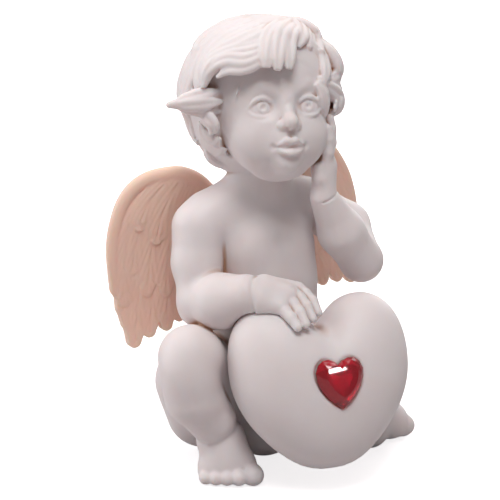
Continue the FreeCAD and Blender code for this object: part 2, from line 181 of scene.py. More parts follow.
class Vol:
    """A box of voxels holding a distance field."""

    def __init__(self, lo, hi, h):
        self.h = h
        self.lo = np.array(lo, float)
        self.n = np.ceil((np.array(hi, float) - self.lo) / h).astype(int) + 1
        self.F = np.full(tuple(self.n), FAR, np.float32)
        self.ax = [(self.lo[i] + h * np.arange(self.n[i])).astype(np.float32) for i in range(3)]

    def region(self, lo, hi):
        sl, co = [], []
        for i in range(3):
            a = max(0, int(math.floor((lo[i] - self.lo[i]) / self.h)))
            b = min(int(self.n[i]), int(math.ceil((hi[i] - self.lo[i]) / self.h)) + 1)
            if b - a < 1:
                return None, None
            sl.append(slice(a, b))
            shape = [1, 1, 1]
            shape[i] = b - a
            co.append(self.ax[i][a:b].reshape(shape))
        return tuple(sl), co

    def add(self, prim, k=0.0):
        f, lo, hi = prim
        sl, co = self.region(lo - k - 1.2, hi + k + 1.2)
        if sl is not None:
            self.F[sl] = smin(self.F[sl], np.minimum(f(*co), FAR).astype(np.float32), k)
        return self

    def sub(self, prim, k=0.0):
        f, lo, hi = prim
        sl, co = self.region(lo - k - 0.6, hi + k + 0.6)
        if sl is not None:
            self.F[sl] = smax(self.F[sl], -f(*co).astype(np.float32), k)
        return self

    def group(self, lo, hi):
        """An empty field on the same voxels, for a part with its own blending."""
        g = Vol.__new__(Vol)
        g.h = self.h
        sl, co = self.region(lo, hi)
        g.lo = np.array([self.ax[i][sl[i].start] for i in range(3)], float)
        g.n = np.array([s.stop - s.start for s in sl])
        g.F = np.full(tuple(g.n), FAR, np.float32)
        g.ax = [self.ax[i][sl[i]] for i in range(3)]
        return g

    def merge(self, g, k=0.0):
        """Blend in a field that lies on the same lattice."""
        off = np.round((g.lo - self.lo) / self.h).astype(int)
        a = np.maximum(off, 0)
        b = np.minimum(off + g.n, self.n)
        s = tuple(slice(int(a[i]), int(b[i])) for i in range(3))
        r = tuple(slice(int(a[i] - off[i]), int(b[i] - off[i])) for i in range(3))
        self.F[s] = smin(self.F[s], g.F[r], k)
        return self

    def mesh(self, smooth=0):
        F = np.clip(self.F, -2.0, 2.0)
        F[0], F[-1] = 2.0, 2.0
        F[:, 0], F[:, -1] = 2.0, 2.0
        F[:, :, 0], F[:, :, -1] = 2.0, 2.0
        for _ in range(smooth):
            G = F.copy()
            for ax in range(3):
                s0 = [slice(None)] * 3; s1 = [slice(None)] * 3; sc = [slice(None)] * 3
                s0[ax], s1[ax], sc[ax] = slice(0, -2), slice(2, None), slice(1, -1)
                H = G.copy()
                H[tuple(sc)] = 0.25 * G[tuple(s0)] + 0.5 * G[tuple(sc)] + 0.25 * G[tuple(s1)]
                G = H
            F = G
        g = openvdb.FloatGrid(background=2.0)
        g.copyFromArray(F)
        pts, tris, quads = g.convertToPolygons(isovalue=0.0, adaptivity=0.0)
        pts = np.asarray(pts, float) * self.h + self.lo
        faces = np.asarray(quads, int)[:, ::-1]
        return pts, faces


def blur_field(F, times):
    for _ in range(times):
        for ax in range(3):
            s0 = [slice(None)] * 3; s1 = [slice(None)] * 3; sc = [slice(None)] * 3
            s0[ax], s1[ax], sc[ax] = slice(0, -2), slice(2, None), slice(1, -1)
            H = F.copy()
            H[tuple(sc)] = 0.25 * F[tuple(s0)] + 0.5 * F[tuple(sc)] + 0.25 * F[tuple(s1)]
            F = H
    return F


def only_biggest(pts, faces):
    """Keep the largest connected shell, so no crumbs are left."""
    parent = np.arange(len(pts))
    e = np.vstack([faces[:, [0, 1]], faces[:, [1, 2]], faces[:, [2, 3]]])
    while True:
        lab = np.minimum(parent[e[:, 0]], parent[e[:, 1]])
        new = parent.copy()
        np.minimum.at(new, e[:, 0], lab)
        np.minimum.at(new, e[:, 1], lab)
        new = new[new]
        new = new[new]
        if (new == parent).all():
            break
        parent = new
    lab, cnt = np.unique(parent, return_counts=True)
    keep = parent == lab[cnt.argmax()]
    idx = np.cumsum(keep) - 1
    faces = faces[keep[faces].all(1)]
    return pts[keep], idx[faces]
# ---------------------------------------------------------------- shared landmarks (mm)
HEART_C = V3(-0.5, -23.0, 21.9)
HEART_R = rot(-8.0, 18.0)
HEAD_C = V3(-1.2, -1.8, 80.5)
HEAD_R = rot(-12.0, 19.0, 1.7)
HAIR_C = V3(-2.8, -1.5, 81.3)


def in_frame(c, R, p):
    return c + R @ V3(*p)


def HD(x, y, z):
    """A point of the head: x to its left, -y out of the face, z up."""
    return in_frame(HEAD_C, HEAD_R, (x, y, z))


def HT(x, y, z):
    """A point of the heart, in its own tilted frame."""
    return in_frame(HEART_C, HEART_R, (x, y, z))


# ---------------------------------------------------------------- heart
HEART_OUT = [(0, 11.8), (1.2, 12.5), (3.0, 14.6), (5.6, 16.9), (9.0, 18.1), (12.6, 17.9), (16.0, 16.0),
             (18.5, 12.5), (19.7, 8.0), (19.9, 3.4), (19.1, -1.4), (17.1, -6.0), (14.1, -10.2), (10.5, -13.9),
             (6.8, -16.6), (3.3, -17.9), (0, -18.2)]
HEART_HALF = 11.6
HG = 0.4                                                    # table step


def heart_tables():
    """Cushion height over the heart's plane: a membrane blown up inside the outline."""
    P = np.array(HEART_OUT, float)
    right = spline(P, 130)
    left = right[::-1][1:-1] * [-1, 1]
    C = np.vstack([right, left])
    g = np.arange(-24.0, 24.01, HG)
    X, Z = np.meshgrid(g, g, indexing="ij")
    d = np.full(X.shape, 1e9)
    inside = np.zeros(X.shape, bool)
    for i in range(len(C)):
        a, b = C[i], C[(i + 1) % len(C)]
        e = b - a
        l2 = max(float(e @ e), 1e-12)
        h = np.clip(((X - a[0]) * e[0] + (Z - a[1]) * e[1]) / l2, 0, 1)
        d = np.minimum(d, (X - a[0] - e[0] * h) ** 2 + (Z - a[1] - e[1] * h) ** 2)
        if a[1] != b[1]:
            inside ^= ((a[1] > Z) != (b[1] > Z)) & (X < e[0] * (Z - a[1]) / (b[1] - a[1]) + a[0])
    d = np.where(inside, -np.sqrt(d), np.sqrt(d))
    phi = np.zeros(X.shape)
    m = d < 0
    edge = np.clip(-d / HG, 0, 1)                           # soft mask keeps the rim off the grid steps
    for _ in range(2600):
        avg = 0.25 * (phi[:-2, 1:-1] + phi[2:, 1:-1] + phi[1:-1, :-2] + phi[1:-1, 2:])
        phi[1:-1, 1:-1] = (avg + 0.25 * HG * HG) * edge[1:-1, 1:-1]
    for _ in range(3):                                      # take the steps off the rim
        q = phi.copy()
        q[1:-1, 1:-1] = (4 * phi[1:-1, 1:-1] + phi[:-2, 1:-1] + phi[2:, 1:-1] + phi[1:-1, :-2] + phi[1:-1, 2:]) / 8
        phi = np.where(m, q, 0)
    phi /= phi.max()
    phi = phi ** 0.88
    # the valley that runs down from the cleft and fades out above the stone
    run = np.clip((Z - 1.0) / 10.5, 0, 1)
    phi = phi * (1 - 0.34 * run ** 1.4 * np.exp(-(X / (2.2 + 1.6 * (1 - run))) ** 2))
    psi = np.where(m, phi, -np.maximum(d, 0) * 0.19)
    gx, gz = np.gradient(psi, HG)
    return psi, np.hypot(gx, gz)


_PSI, _PSG = heart_tables()


def look(T, x, z):
    fx = np.clip((x + 24.0) / HG, 0, T.shape[0] - 1.001)
    fz = np.clip((z + 24.0) / HG, 0, T.shape[1] - 1.001)
    i, j = fx.astype(int), fz.astype(int)
    a, b = fx - i, fz - j
    return ((T[i, j] * (1 - a) + T[i + 1, j] * a) * (1 - b)
            + (T[i, j + 1] * (1 - a) + T[i + 1, j + 1] * a) * b)


def heart_prim():
    R, H = HEART_R, HEART_HALF

    def f(X, Y, Z):
        x, y, z = X - HEART_C[0], Y - HEART_C[1], Z - HEART_C[2]
        u = x * R[0, 0] + y * R[1, 0] + z * R[2, 0]
        v = x * R[0, 1] + y * R[1, 1] + z * R[2, 1]
        w = x * R[0, 2] + y * R[1, 2] + z * R[2, 2]
        psi = look(_PSI, u - 0.5, w)
        q = (np.abs(v) / H) ** 2.0
        F = q - psi
        G = np.sqrt((2 * v / H ** 2) ** 2 + look(_PSG, u - 0.5, w) ** 2) + 0.02
        return F / G
    return f, HEART_C - 23.0, HEART_C + 23.0
# ---------------------------------------------------------------- body of the figure
def limb(g, pts, k=2.0):
    """Consecutive (x, y, z, r) joined by rounded cones."""
    for a, b in zip(pts[:-1], pts[1:]):
        g.add(cone(a[:3], b[:3], a[3], b[3]), k)


def torso(V):
    g = V.group((-24, -20, -1.2), (20, 19, 66))
    limb(g, [(-1, 3, 11.5, 12.6), (-0.9, -0.2, 24, 12.9), (-1.1, -0.5, 34, 11.6), (-1.6, -0.3, 42, 10.8), (-2.0, -0.2, 49.5, 10.2)], 0.8)
    g.add(ball((-1.5, 6.5, 9.2), 9.6), 3)
    g.add(ball((-8.0, 9.0, 8.4), 7.4), 3)                   # seat
    g.add(ball((5.4, 9.2, 8.4), 7.4), 3)
    g.add(ball((-0.9, -2.8, 26.6), 11.6), 3)                # belly
    g.add(ell((-4.8, -3.6, 40.6), (7.4, 7.6, 7.6)), 3)
    g.add(ell((2.6, -3.6, 40.6), (6.6, 7.4, 7.6)), 3)
    g.add(ell((-6.8, -5.3, 47.8), (5.6, 4.8, 6.2)), 2.5)     # chest
    g.add(ell((2.6, -5.7, 48.0), (5.4, 4.8, 6.2)), 2.5)
    g.add(ball((-7.4, 4.8, 50), 5.4), 3)                    # blades
    g.add(ball((4.4, 4.8, 50), 5.4), 3)
    g.add(cone((-15.0, 0.8, 54.0), (12.0, 0.4, 54.2), 5.2, 5.0), 4)      # shoulders
    g.add(cone((-2.6, -0.4, 61.0), (-13.2, 0.6, 55.4), 4.6, 5.0), 3)
    g.add(cone((-2.4, -0.4, 61.0), (9.6, 0.6, 55.6), 4.6, 4.8), 3)
    g.add(cone((-2.4, 0.4, 54), (-2.6, -1.6, 63), 6.8, 6.0), 3)          # neck
    g.add(ell((-3, -4.5, 6.6), (7.4, 7.0, 6.6)), 3)
    g.sub(tube([(-1.6, 13.4, 57), (-1.5, 12.4, 47), (-1.2, 13.6, 36), (-1.0, 16.2, 22)], [0.7, 0.9, 0.9, 0.6]), 2.6)
    g.sub(tube([(-1.2, 16.6, 16.4), (-1.4, 17.8, 10), (-1.4, 15.8, 2)], [0.3, 0.6, 0.6]), 1.6)
    g.sub(ball((-1.9, -11.6, 50.6), 0.8), 3.4)              # hollow of the breastbone
    g.sub(tube([(-2.0, -12.2, 51.0), (-1.8, -12.6, 44.0), (-1.6, -14.4, 34.0)], 0.3), 1.6)
    g.sub(ell((-1.6, -15.2, 31.5), (0.55, 1.4, 0.7)), 0.8)  # navel
    times = int(round(3.0 / V.h ** 1.2))
    g.F = blur_field(g.F, min(times, 14))
    V.merge(g)


def right_arm(V):
    g = V.group((-27, -33, 29), (2, 9, 62))
    limb(g, [(-16.3, 0.6, 52.8, 5.9), (-17.7, -0.9, 45.4, 5.3), (-18.3, -3.6, 38.6, 4.8)], 1.5)
    a = V.group((-27, -33, 29), (2, 9, 62))
    limb(a, [(-18.0, -4.0, 38.0, 4.7), (-16.9, -9.4, 38.9, 5.5), (-14.0, -15.6, 41.7, 4.2)], 2.5)
    g.merge(a, 1.3)
    g.add(ball((-18.3, -3.2, 37.2), 4.6), 2)
    g.add(ball((-19.6, -3.4, 35.4), 2.5), 2.2)              # point of the elbow
    # hand, laid over the top of the heart
    h = V.group((-20, -33, 31), (5, -9, 50))
    h.add(cone((-12.6, -17.0, 41.4), (-10.6, -17.4, 41.5), 3.7, 3.4), 1.5)
    h.add(cone((-12.0, -19.0, 40.5), (-9.3, -21.6, 39.9), 2.7, 2.1), 1.6)       # near edge of the palm
    h.add(cone((-11.0, -17.2, 41.4), (-6.6, -20.0, 41.1), 3.2, 2.2), 1.6)
    h.add(cone((-9.6, -15.4, 42.6), (-3.0, -18.2, 41.5), 2.6, 1.9), 1.6)        # far edge
    h.add(ell((-7.6, -18.6, 40.8), (3.6, 3.6, 2.6), rot(-28, 14, 4)), 1.5)
    fingers = [
        [(-9.6, -21.2, 40.1, 1.45), (-9.1, -23.2, 39.3, 1.3), (-8.7, -25.0, 38.3, 1.15), (-8.2, -26.9, 36.7, 0.98)],
        [(-7.2, -20.2, 41.1, 1.45), (-6.7, -22.4, 40.4, 1.3), (-6.4, -24.8, 39.0, 1.15), (-6.2, -26.8, 37.0, 0.98)],
        [(-5.0, -19.2, 41.8, 1.4), (-4.4, -21.4, 41.0, 1.25), (-4.0, -23.6, 39.7, 1.1), (-3.9, -25.8, 37.5, 0.94)],
        [(-3.0, -18.2, 41.9, 1.3), (-2.2, -20.2, 41.2, 1.18), (-1.7, -22.3, 40.1, 1.04), (-1.7, -24.5, 38.1, 0.9)],
    ]
    for fpts in fingers:
        q = V.group(V3(*fpts[0][:3]) - 8, V3(*fpts[0][:3]) + 9)
        limb(q, fpts, 0.4)
        h.merge(q, 0.22)
    g.merge(h, 0.7)
    g.sub(ring((-12.6, -17.2, 41.7), (0.72, -0.68, 0.12), 3.85, 0.16), 0.6)   # wrist fold
    V.merge(g, 0.8)


def left_arm(V):
    g = V.group((1, -22, 36), (25, 9, 80))
    limb(g, [(12.3, 0.5, 53.4, 5.4), (18.4, -3.6, 49.4, 5.0), (16.8, -12.0, 43.9, 4.6)], 1.5)
    a = V.group((1, -22, 36), (25, 9, 80))
    limb(a, [(16.6, -12.6, 43.9, 4.6), (10.9, -13.4, 51.2, 4.9), (6.0, -14.0, 59.6, 3.0)], 1.5)
    g.merge(a, 1.3)
    h = V.group((-1, -20, 56), (17, -5, 80))
    h.add(cone((5.9, -14.0, 60.0), (6.6, -13.0, 66.0), 2.6, 2.7), 1.5)
    h.add(ell((6.9, -11.6, 66.8), (2.0, 3.4, 3.4), rot(0, 0, 8)), 1.4)
    fingers = [
        [(6.2, -14.2, 66.6, 1.25), (6.5, -14.8, 69.8, 1.2), (6.4, -15.0, 72.6, 1.1), (6.2, -14.9, 74.8, 0.9)],
        [(7.3, -12.8, 67.6, 1.3), (8.0, -13.2, 71.2, 1.25), (8.0, -13.2, 74.2, 1.15), (7.8, -13.1, 76.4, 0.95)],
        [(8.0, -11.0, 67.6, 1.3), (9.0, -11.2, 71.2, 1.25), (9.2, -11.1, 74.2, 1.15), (9.0, -10.9, 76.2, 0.95)],
        [(8.4, -9.2, 67.0, 1.25), (9.6, -9.0, 70.0, 1.2), (9.9, -8.8, 72.6, 1.05), (9.8, -8.6, 74.2, 0.9)],
    ]
    for fpts in fingers:
        q = V.group(V3(*fpts[0][:3]) - 5, V3(*fpts[0][:3]) + (6, 6, 12))
        limb(q, fpts, 0.4)
        h.merge(q, 0.35)
    thumb = [(5.6, -14.6, 61.8, 1.9), (4.6, -14.8, 64.2, 1.5), (4.2, -14.8, 66.4, 1.1)]
    q = V.group((-3, -20, 57), (11, -10, 69))
    limb(q, thumb, 0.8)
    h.merge(q, 1.0)
    g.merge(h, 0.7)
    g.sub(ring((6.2, -14.0, 60.0), (-0.40, 0.02, 0.9), 2.85, 0.13), 0.5)
    V.merge(g, 0.8)


def foot(V, lo, hi, heel, mid, ball_, toes, up=0.0):
    g = V.group(lo, hi)
    limb(g, [heel, mid, ball_[0]], 2.2)
    for b in ball_[1:]:
        g.add(ball(b[:3], b[3]), 2.0)
    for t in toes:
        q = g.group(V3(*t[0][:3]) - 7, V3(*t[0][:3]) + 7)
        limb(q, t, 0.5)
        g.merge(q, 0.55)
    return g


def right_leg(V):
    t = V.group((-36, -23, 0), (4, 16, 39))
    limb(t, [(-9.5, 4.9, 10.6, 9.7), (-16.6, -2.0, 19.2, 8.9), (-23.2, -9.0, 26.9, 7.0)], 2)
    t.add(cone((-13.8, 4.4, 9.2), (-22.0, -5.0, 20.6), 7.9, 7.3), 2)      # under side of the thigh
    t.add(ball((-24.9, -10.6, 28.4), 6.4), 2)
    c = V.group((-36, -24, 0), (-6, 8, 38))
    limb(c, [(-25.8, -11.4, 27.0, 5.9), (-24.4, -11.4, 19.6, 5.8), (-20.0, -11.4, 13.4, 5.2)], 2)
    c.add(ball((-25.4, -11.8, 24.4), 5.8), 2)
    f = foot(c, (-31, -25, 0), (-7, 0, 14),
             (-16.2, -8.2, 4.8, 4.7), (-17.6, -10.8, 8.4, 4.7),
             [(-18.2, -14.0, 3.4, 3.4), (-15.0, -15.2, 3.6, 3.3), (-20.6, -12.2, 3.1, 3.0), (-17.0, -12.8, 5.8, 4.3)],
             [[(-14.6, -16.0, 2.7, 2.5), (-14.3, -18.6, 2.3, 2.3), (-14.2, -19.2, 2.2, 2.15)],
              [(-16.9, -15.6, 2.5, 1.9), (-17.3, -18.0, 2.1, 1.75), (-17.4, -18.4, 2.0, 1.65)],
              [(-18.8, -14.4, 2.3, 1.8), (-19.4, -16.7, 1.95, 1.6), (-19.5, -17.0, 1.85, 1.5)],
              [(-20.5, -13.2, 2.1, 1.7), (-21.3, -15.3, 1.8, 1.5), (-21.4, -15.6, 1.7, 1.4)],
              [(-21.9, -11.8, 2.0, 1.6), (-22.9, -13.7, 1.65, 1.4), (-23.0, -13.9, 1.55, 1.3)]])
    c.merge(f, 0.5)
    t.merge(c, 0.6)
    V.merge(t, 1.4)


def left_leg(V):
    t = V.group((-4, -24, 0), (37, 16, 37))
    limb(t, [(6.8, 5.0, 10.6, 9.9), (13.4, -4.2, 19.0, 8.9), (18.4, -10.8, 25.2, 6.8)], 3)
    t.add(ball((18.6, -11.6, 25.8), 6.3), 2)
    c = V.group((5, -24, 0), (37, 8, 36))
    limb(c, [(18.8, -12.0, 24.2, 6.0), (20.6, -9.6, 15.6, 6.4), (20.2, -9.8, 8.2, 4.6)], 3)
    c.add(ell((20.4, -6.4, 15.8), (4.6, 4.6, 6.2)), 2.5)
    f = foot(c, (9, -22, 0), (37, 2, 14),
             (18.8, -11.6, 4.2, 4.3), (22.6, -10.0, 5.8, 4.3),
             [(25.8, -9.8, 4.6, 4.0), (26.4, -11.0, 4.2, 3.7), (25.4, -7.6, 3.2, 3.0), (20.6, -12.4, 3.0, 2.9)],
             [[(27.0, -11.2, 3.4, 2.8), (29.2, -11.4, 2.9, 2.5), (29.9, -11.4, 2.7, 2.2)],
              [(27.4, -9.6, 3.0, 2.0), (29.2, -9.4, 2.5, 1.8), (29.6, -9.4, 2.3, 1.6)],
              [(27.0, -8.1, 2.6, 1.8), (28.6, -7.8, 2.1, 1.6), (29.0, -7.8, 2.0, 1.45)],
              [(26.4, -6.7, 2.3, 1.7), (27.8, -6.3, 1.9, 1.5), (28.1, -6.3, 1.8, 1.35)],
              [(25.6, -5.5, 2.1, 1.6), (26.8, -5.0, 1.7, 1.35), (27.1, -5.0, 1.6, 1.2)]])
    c.merge(f, 1.2)
    c.add(cone((24.0, -5.0, 20.0), (27.4, -6.0, 7.6), 4.0, 3.4), 2)
    t.merge(c, 0.9)
    V.merge(t, 1.4)


# ---------------------------------------------------------------- head
def on_eye(side, x, z, lift=0.0):
    """A point on the eyeball's front, from its middle; x outward, z up."""
    r = 3.2 + lift
    y = -math.sqrt(max(r * r - x * x - z * z, 0.05))
    return HD(side * (5.0 + x), -9.75 + y, -4.4 + z)


def head(V):
    g = V.group((-23, -27, 54), (21, 16, 100))
    g.add(ball(HD(0, 1.0, 1.5), 14.4))                      # skull
    g.add(ball(HD(0, -1.0, 2.5), 12.6), 4)                  # forehead
    g.add(ball(HD(-0.7, -2.9, -5.9), 10.5), 4)              # face
    g.add(ball(HD(0, -5.2, -10.8), 7.3), 4)                 # jaw
    for s in (-1, 1):
        g.add(ball(HD(s * 5.3 - 0.2, -7.6, -9.8), 4.7), 3.0)      # cheeks
        g.add(ball(HD(s * 4.2, -6.8, -12.4), 3.6), 3.0)     # jowls
    g.add(ball(HD(0, -9.8, -11.8), 4.5), 2.4)               # mouth mound
    g.add(ball(HD(0, -10.9, -15.6), 2.5), 1.6)              # chin
    g.add(ell(HD(0, -5.6, -16.4), (5.2, 4.4, 2.6), HEAD_R), 1.6)   # under the chin
    for s in (-1, 1):
        g.sub(ell(HD(s * 5.1, -15.4, -4.1), (3.7, 3.4, 2.9), HEAD_R), 1.4)
    g.add(cone(HD(0, -13.0, -2.8), HD(0, -14.8, -7.2), 0.9, 1.25), 1.6)   # nose
    g.add(ball(HD(0, -15.3, -7.8), 1.55), 0.9)
    for s in (-1, 1):
        g.add(ball(HD(s * 1.6, -14.2, -8.3), 1.0), 0.6)
        g.add(tube([HD(s * 2.8, -13.0, -0.4), HD(s * 4.8, -13.0, 0.5), HD(s * 6.8, -11.8, 0.2)], [0.1, 0.3, 0.1]), 1.5)
    for s in (-1, 1):
        g.sub(ball(HD(s * 0.8, -15.1, -9.2), 0.5), 0.3)
        # the eyeball, then the lids that wrap it
        e = g.group(HD(s * 5.0, -10, -4.5) - 7, HD(s * 5.0, -10, -4.5) + 7)
        e.add(ball(HD(s * 5.0, -9.75, -4.4), 3.2))
        e.sub(ring(HD(s * 4.9, -12.72, -4.3), HEAD_R @ V3(s * 0.04, -1, 0.03), 1.45, 0.2), 0.15)
        e.sub(ball(HD(s * 4.9, -13.1, -4.3), 0.72), 0.15)
        g.merge(e, 0.1)
        up = [on_eye(s, -3.0, -0.6, 0.1), on_eye(s, -2.2, 0.9, 0.32), on_eye(s, -0.9, 1.85, 0.42), on_eye(s, 0.5, 2.0, 0.42),
              on_eye(s, 1.9, 1.3, 0.35), on_eye(s, 3.0, -0.3, 0.1)]
        lo = [on_eye(s, -3.0, -0.6, 0.1), on_eye(s, -1.6, -1.55, 0.15), on_eye(s, 0.2, -1.95, 0.15),
              on_eye(s, 1.9, -1.45, 0.12), on_eye(s, 3.0, -0.3, 0.1)]
        g.add(tube(spline(up, 15), np.interp(np.linspace(0, 1, 15), [0, .5, 1], [.36, .6, .36])), 0.18)
        g.add(tube(spline(lo, 13), np.interp(np.linspace(0, 1, 13), [0, .5, 1], [.3, .46, .3])), 0.3)
    g.sub(tube([HD(0, -15.0, -10.0), HD(0, -14.9, -11.2)], [0.42, 0.5]), 0.7)     # philtrum
    ul = spline([HD(-3.3, -13.1, -12.7), HD(-2.0, -14.15, -12.1), HD(-0.8, -14.8, -11.55), HD(0, -14.8, -11.85),
                 HD(0.8, -14.8, -11.55), HD(2.0, -14.15, -12.1), HD(3.3, -13.1, -12.7)], 25)
    g.add(tube(ul, np.interp(np.linspace(0, 1, 25), [0, .35, .5, .65, 1], [.22, .74, .66, .74, .22])), 0.4)
    ll = spline([HD(-2.8, -13.2, -13.1), HD(-1.5, -14.1, -13.9), HD(0, -14.4, -14.15), HD(1.5, -14.1, -13.9),
                 HD(2.8, -13.2, -13.1)], 21)
    g.add(tube(ll, np.interp(np.linspace(0, 1, 21), [0, .5, 1], [.22, .9, .22])), 0.4)
    g.sub(tube(spline([HD(-3.0, -13.5, -12.75), HD(-1.4, -14.8, -12.75), HD(0, -15.1, -12.95), HD(1.4, -14.8, -12.75),
                       HD(3.0, -13.5, -12.75)], 15), np.interp(np.linspace(0, 1, 15), [0, .3, .5, .7, 1], [.12, .3, .46, .3, .12])), 0.2)
    for s in (-1, 1):
        g.sub(ball(HD(s * 3.6, -13.3, -12.7), 0.35), 0.9)
    g.sub(tube([HD(-1.8, -14.0, -15.0), HD(0, -14.2, -15.15), HD(1.8, -14.0, -15.0)], 0.25), 1.2)
    V.merge(g, 1.6)


# ---------------------------------------------------------------- hair
def lock(g, pts, width, height, m, k=0.35, taper=(0.45, 1.0, 0.3), lift=0.0, C=None, n=None):
    """A swept lock: m strands side by side over a crowned section, drawn in at the ends."""
    C = HAIR_C if C is None else C
    n = n or max(7, int(3.2 * len(pts)))
    P = spline(pts, n)
    T = np.gradient(P, axis=0)
    T /= np.linalg.norm(T, axis=1)[:, None] + 1e-9
    N = P - C
    N -= (N * T).sum(1)[:, None] * T
    N /= np.linalg.norm(N, axis=1)[:, None] + 1e-9
    B = np.cross(T, N)
    s = np.linspace(0, 1, n)
    w = width * np.interp(s, [0, 0.35, 0.7, 1], [taper[0], taper[1], taper[1] * 0.92, taper[2]])
    w = w * np.interp(s, [0, 0.9, 1], [1, 1, 0.8])
    for j in range(m):
        q = (j - (m - 1) / 2) / max(m, 1)
        off = q * w * 0.98
        up = lift + (height * 0.55) * (1 - (2 * q) ** 2) * np.interp(s, [0, 0.2, 0.85, 1], [0.5, 1, 1, 0.4])
        r = 0.70 * w / m
        g.add(tube(P + B * off[:, None] + N * (up - 0.55 * height)[:, None], np.maximum(r, 0.28)), k)


# name, width, height, strands, path
LOCKS = [
    ('crown_a', 5.4, 0.7, 3, [(-1.8, -1.2, 97.1), (-8.1, -2.8, 96.1), (-12.7, -1.3, 93.6), (-16.0, -0.6, 90.0), (-17.8, 0.4, 85.7), (-18.3, 1.3, 81.8)]),
    ('crown_b', 5.4, 0.7, 3, [(-0.3, -2.7, 97.0), (-7.5, -6.7, 95.6), (-12.5, -5.9, 93.2), (-16.0, -4.4, 90.0), (-17.9, -3.7, 86.2), (-18.7, -3.3, 82.9)]),
    ('crown_c', 5.2, 0.8, 3, [(0.5, -4.6, 96.7), (-6.0, -9.2, 95.2), (-10.9, -9.3, 93.2), (-14.7, -7.3, 91.1), (-17.4, -5.7, 88.2), (-18.6, -5.8, 85.0)]),
    ('hem_1', 3.8, 1.2, 3, [(-0.0, -7.2, 96.3), (-6.5, -11.6, 93.8), (-10.2, -11.4, 92.4), (-13.7, -9.2, 91.6), (-16.4, -6.9, 90.0), (-18.2, -6.0, 87.5), (-19.1, -6.3, 84.9)]),
    ('hem_2', 3.0, 1.2, 2, [(-6.2, -12.7, 93.1), (-9.7, -13.0, 91.4), (-12.4, -12.0, 90.4), (-14.6, -9.7, 90.5), (-16.5, -8.0, 89.5), (-18.1, -7.0, 87.5)]),
    ('hem_3', 2.4, 1.0, 2, [(-7.4, -13.9, 91.3), (-10.5, -13.5, 89.9), (-12.9, -12.4, 88.9), (-15.0, -10.4, 88.6), (-16.9, -8.7, 87.0)]),
    ('fore_1', 3.8, 1.0, 3, [(3.2, -3.4, 96.3), (-2.9, -9.1, 96.0), (-6.3, -11.7, 94.2), (-8.2, -13.8, 91.8), (-9.1, -15.3, 89.6)]),
    ('fore_2', 3.3, 1.1, 2, [(4.8, -3.2, 96.0), (-1.7, -9.9, 95.6), (-4.3, -12.6, 94.0), (-6.0, -14.7, 91.7), (-7.0, -16.4, 89.2)]),
    ('fore_3', 2.9, 1.0, 2, [(5.7, -3.8, 95.5), (0.1, -10.3, 95.1), (-2.4, -13.1, 93.4), (-3.5, -15.0, 91.6), (-4.5, -16.7, 89.2)]),
    ('top_r0', 3.4, 1.0, 2, [(4.8, -3.2, 96.2), (3.7, -7.2, 95.2), (2.1, -10.5, 94.1), (0.1, -13.0, 92.8)]),
    ('top_r1', 4.2, 1.2, 3, [(3.4, -2.2, 96.8), (5.5, -3.7, 96.0), (7.4, -5.1, 94.9), (8.7, -6.2, 93.5), (7.5, -8.9, 92.1)]),
    ('top_r2', 3.8, 1.1, 3, [(4.3, -2.9, 96.2), (6.0, -4.1, 94.9), (5.3, -8.1, 93.9), (3.3, -12.2, 92.1)]),
    ('side_1', 4.8, 1.6, 3, [(7.7, -5.5, 93.3), (9.3, -6.9, 91.4), (10.9, -8.4, 89.4), (11.8, -9.5, 87.1), (11.6, -9.8, 84.8), (7.8, -13.4, 84.1)]),
    ('side_2', 3.6, 1.3, 3, [(6.3, -8.1, 92.1), (7.0, -9.8, 90.4), (7.3, -11.4, 88.5), (6.5, -13.5, 86.4), (5.3, -15.1, 84.4)]),
    ('side_3', 4.8, 1.6, 3, [(4.4, -14.9, 84.9), (8.4, -12.5, 83.0), (11.3, -10.7, 80.5), (11.1, -11.1, 78.2), (9.8, -10.8, 76.3)]),
    ('side_4', 3.2, 1.2, 3, [(3.3, -15.4, 84.7), (4.6, -15.3, 82.6), (5.2, -15.2, 80.2), (6.0, -14.5, 77.6)]),
    ('flick_1', 2.6, 1.2, 2, [(-15.4, -6.4, 83.6), (-17.8, -6.0, 83.2), (-20.6, -5.4, 82.7), (-23.2, -5.0, 82.0), (-25.6, -4.7, 81.5)]),
    ('flick_2', 2.6, 1.2, 2, [(-15.2, -7.6, 81.5), (-17.8, -6.9, 81.3), (-20.6, -6.2, 81.2), (-23.2, -5.5, 81.2), (-25.7, -4.8, 81.3)]),
    ('flick_3', 2.6, 1.2, 2, [(-15.2, -6.6, 79.1), (-17.6, -6.0, 79.2), (-20.4, -5.4, 79.8), (-22.8, -5.0, 80.5), (-25.2, -4.7, 81.2)]),
    ('curl_1', 3.8, 1.7, 3, [(-17.9, -1.3, 79.2), (-17.7, -4.0, 78.7), (-17.2, -6.1, 77.7), (-16.7, -6.6, 76.3), (-16.5, -5.3, 74.5)]),
    ('curl_2', 3.4, 1.6, 3, [(-17.1, -2.0, 76.1), (-16.3, -2.3, 74.1), (-15.6, -4.0, 73.1), (-15.1, -4.9, 72.6), (-15.3, -6.9, 73.6)]),
    ('curl_3', 3.4, 1.5, 3, [(-14.9, 1.1, 72.9), (-13.7, 1.7, 70.7), (-12.5, 0.7, 69.4), (-12.6, -2.0, 69.5), (-13.3, -5.5, 70.8)]),
    ('curl_4', 3.2, 1.5, 3, [(-13.9, 1.6, 70.0), (-13.4, 0.9, 68.4), (-12.3, -0.1, 67.1), (-11.0, -0.9, 66.7), (-10.0, -1.3, 67.3)]),
]
UNDER_FRINGE = [(-17.7, -4.2, 84.0), (-17.0, -5.9, 85.3), (-15.7, -8.5, 86.0), (-13.7, -11.0, 86.7), (-11.5, -12.8, 87.2), (-9.3, -14.0, 87.6)]
BESIDE_CHEEK = [(-15.3, -8.8, 84.1), (-15.8, -8.7, 81.2), (-15.5, -8.2, 77.7), (-14.2, -7.5, 74.1), (-11.9, -5.6, 70.4)]


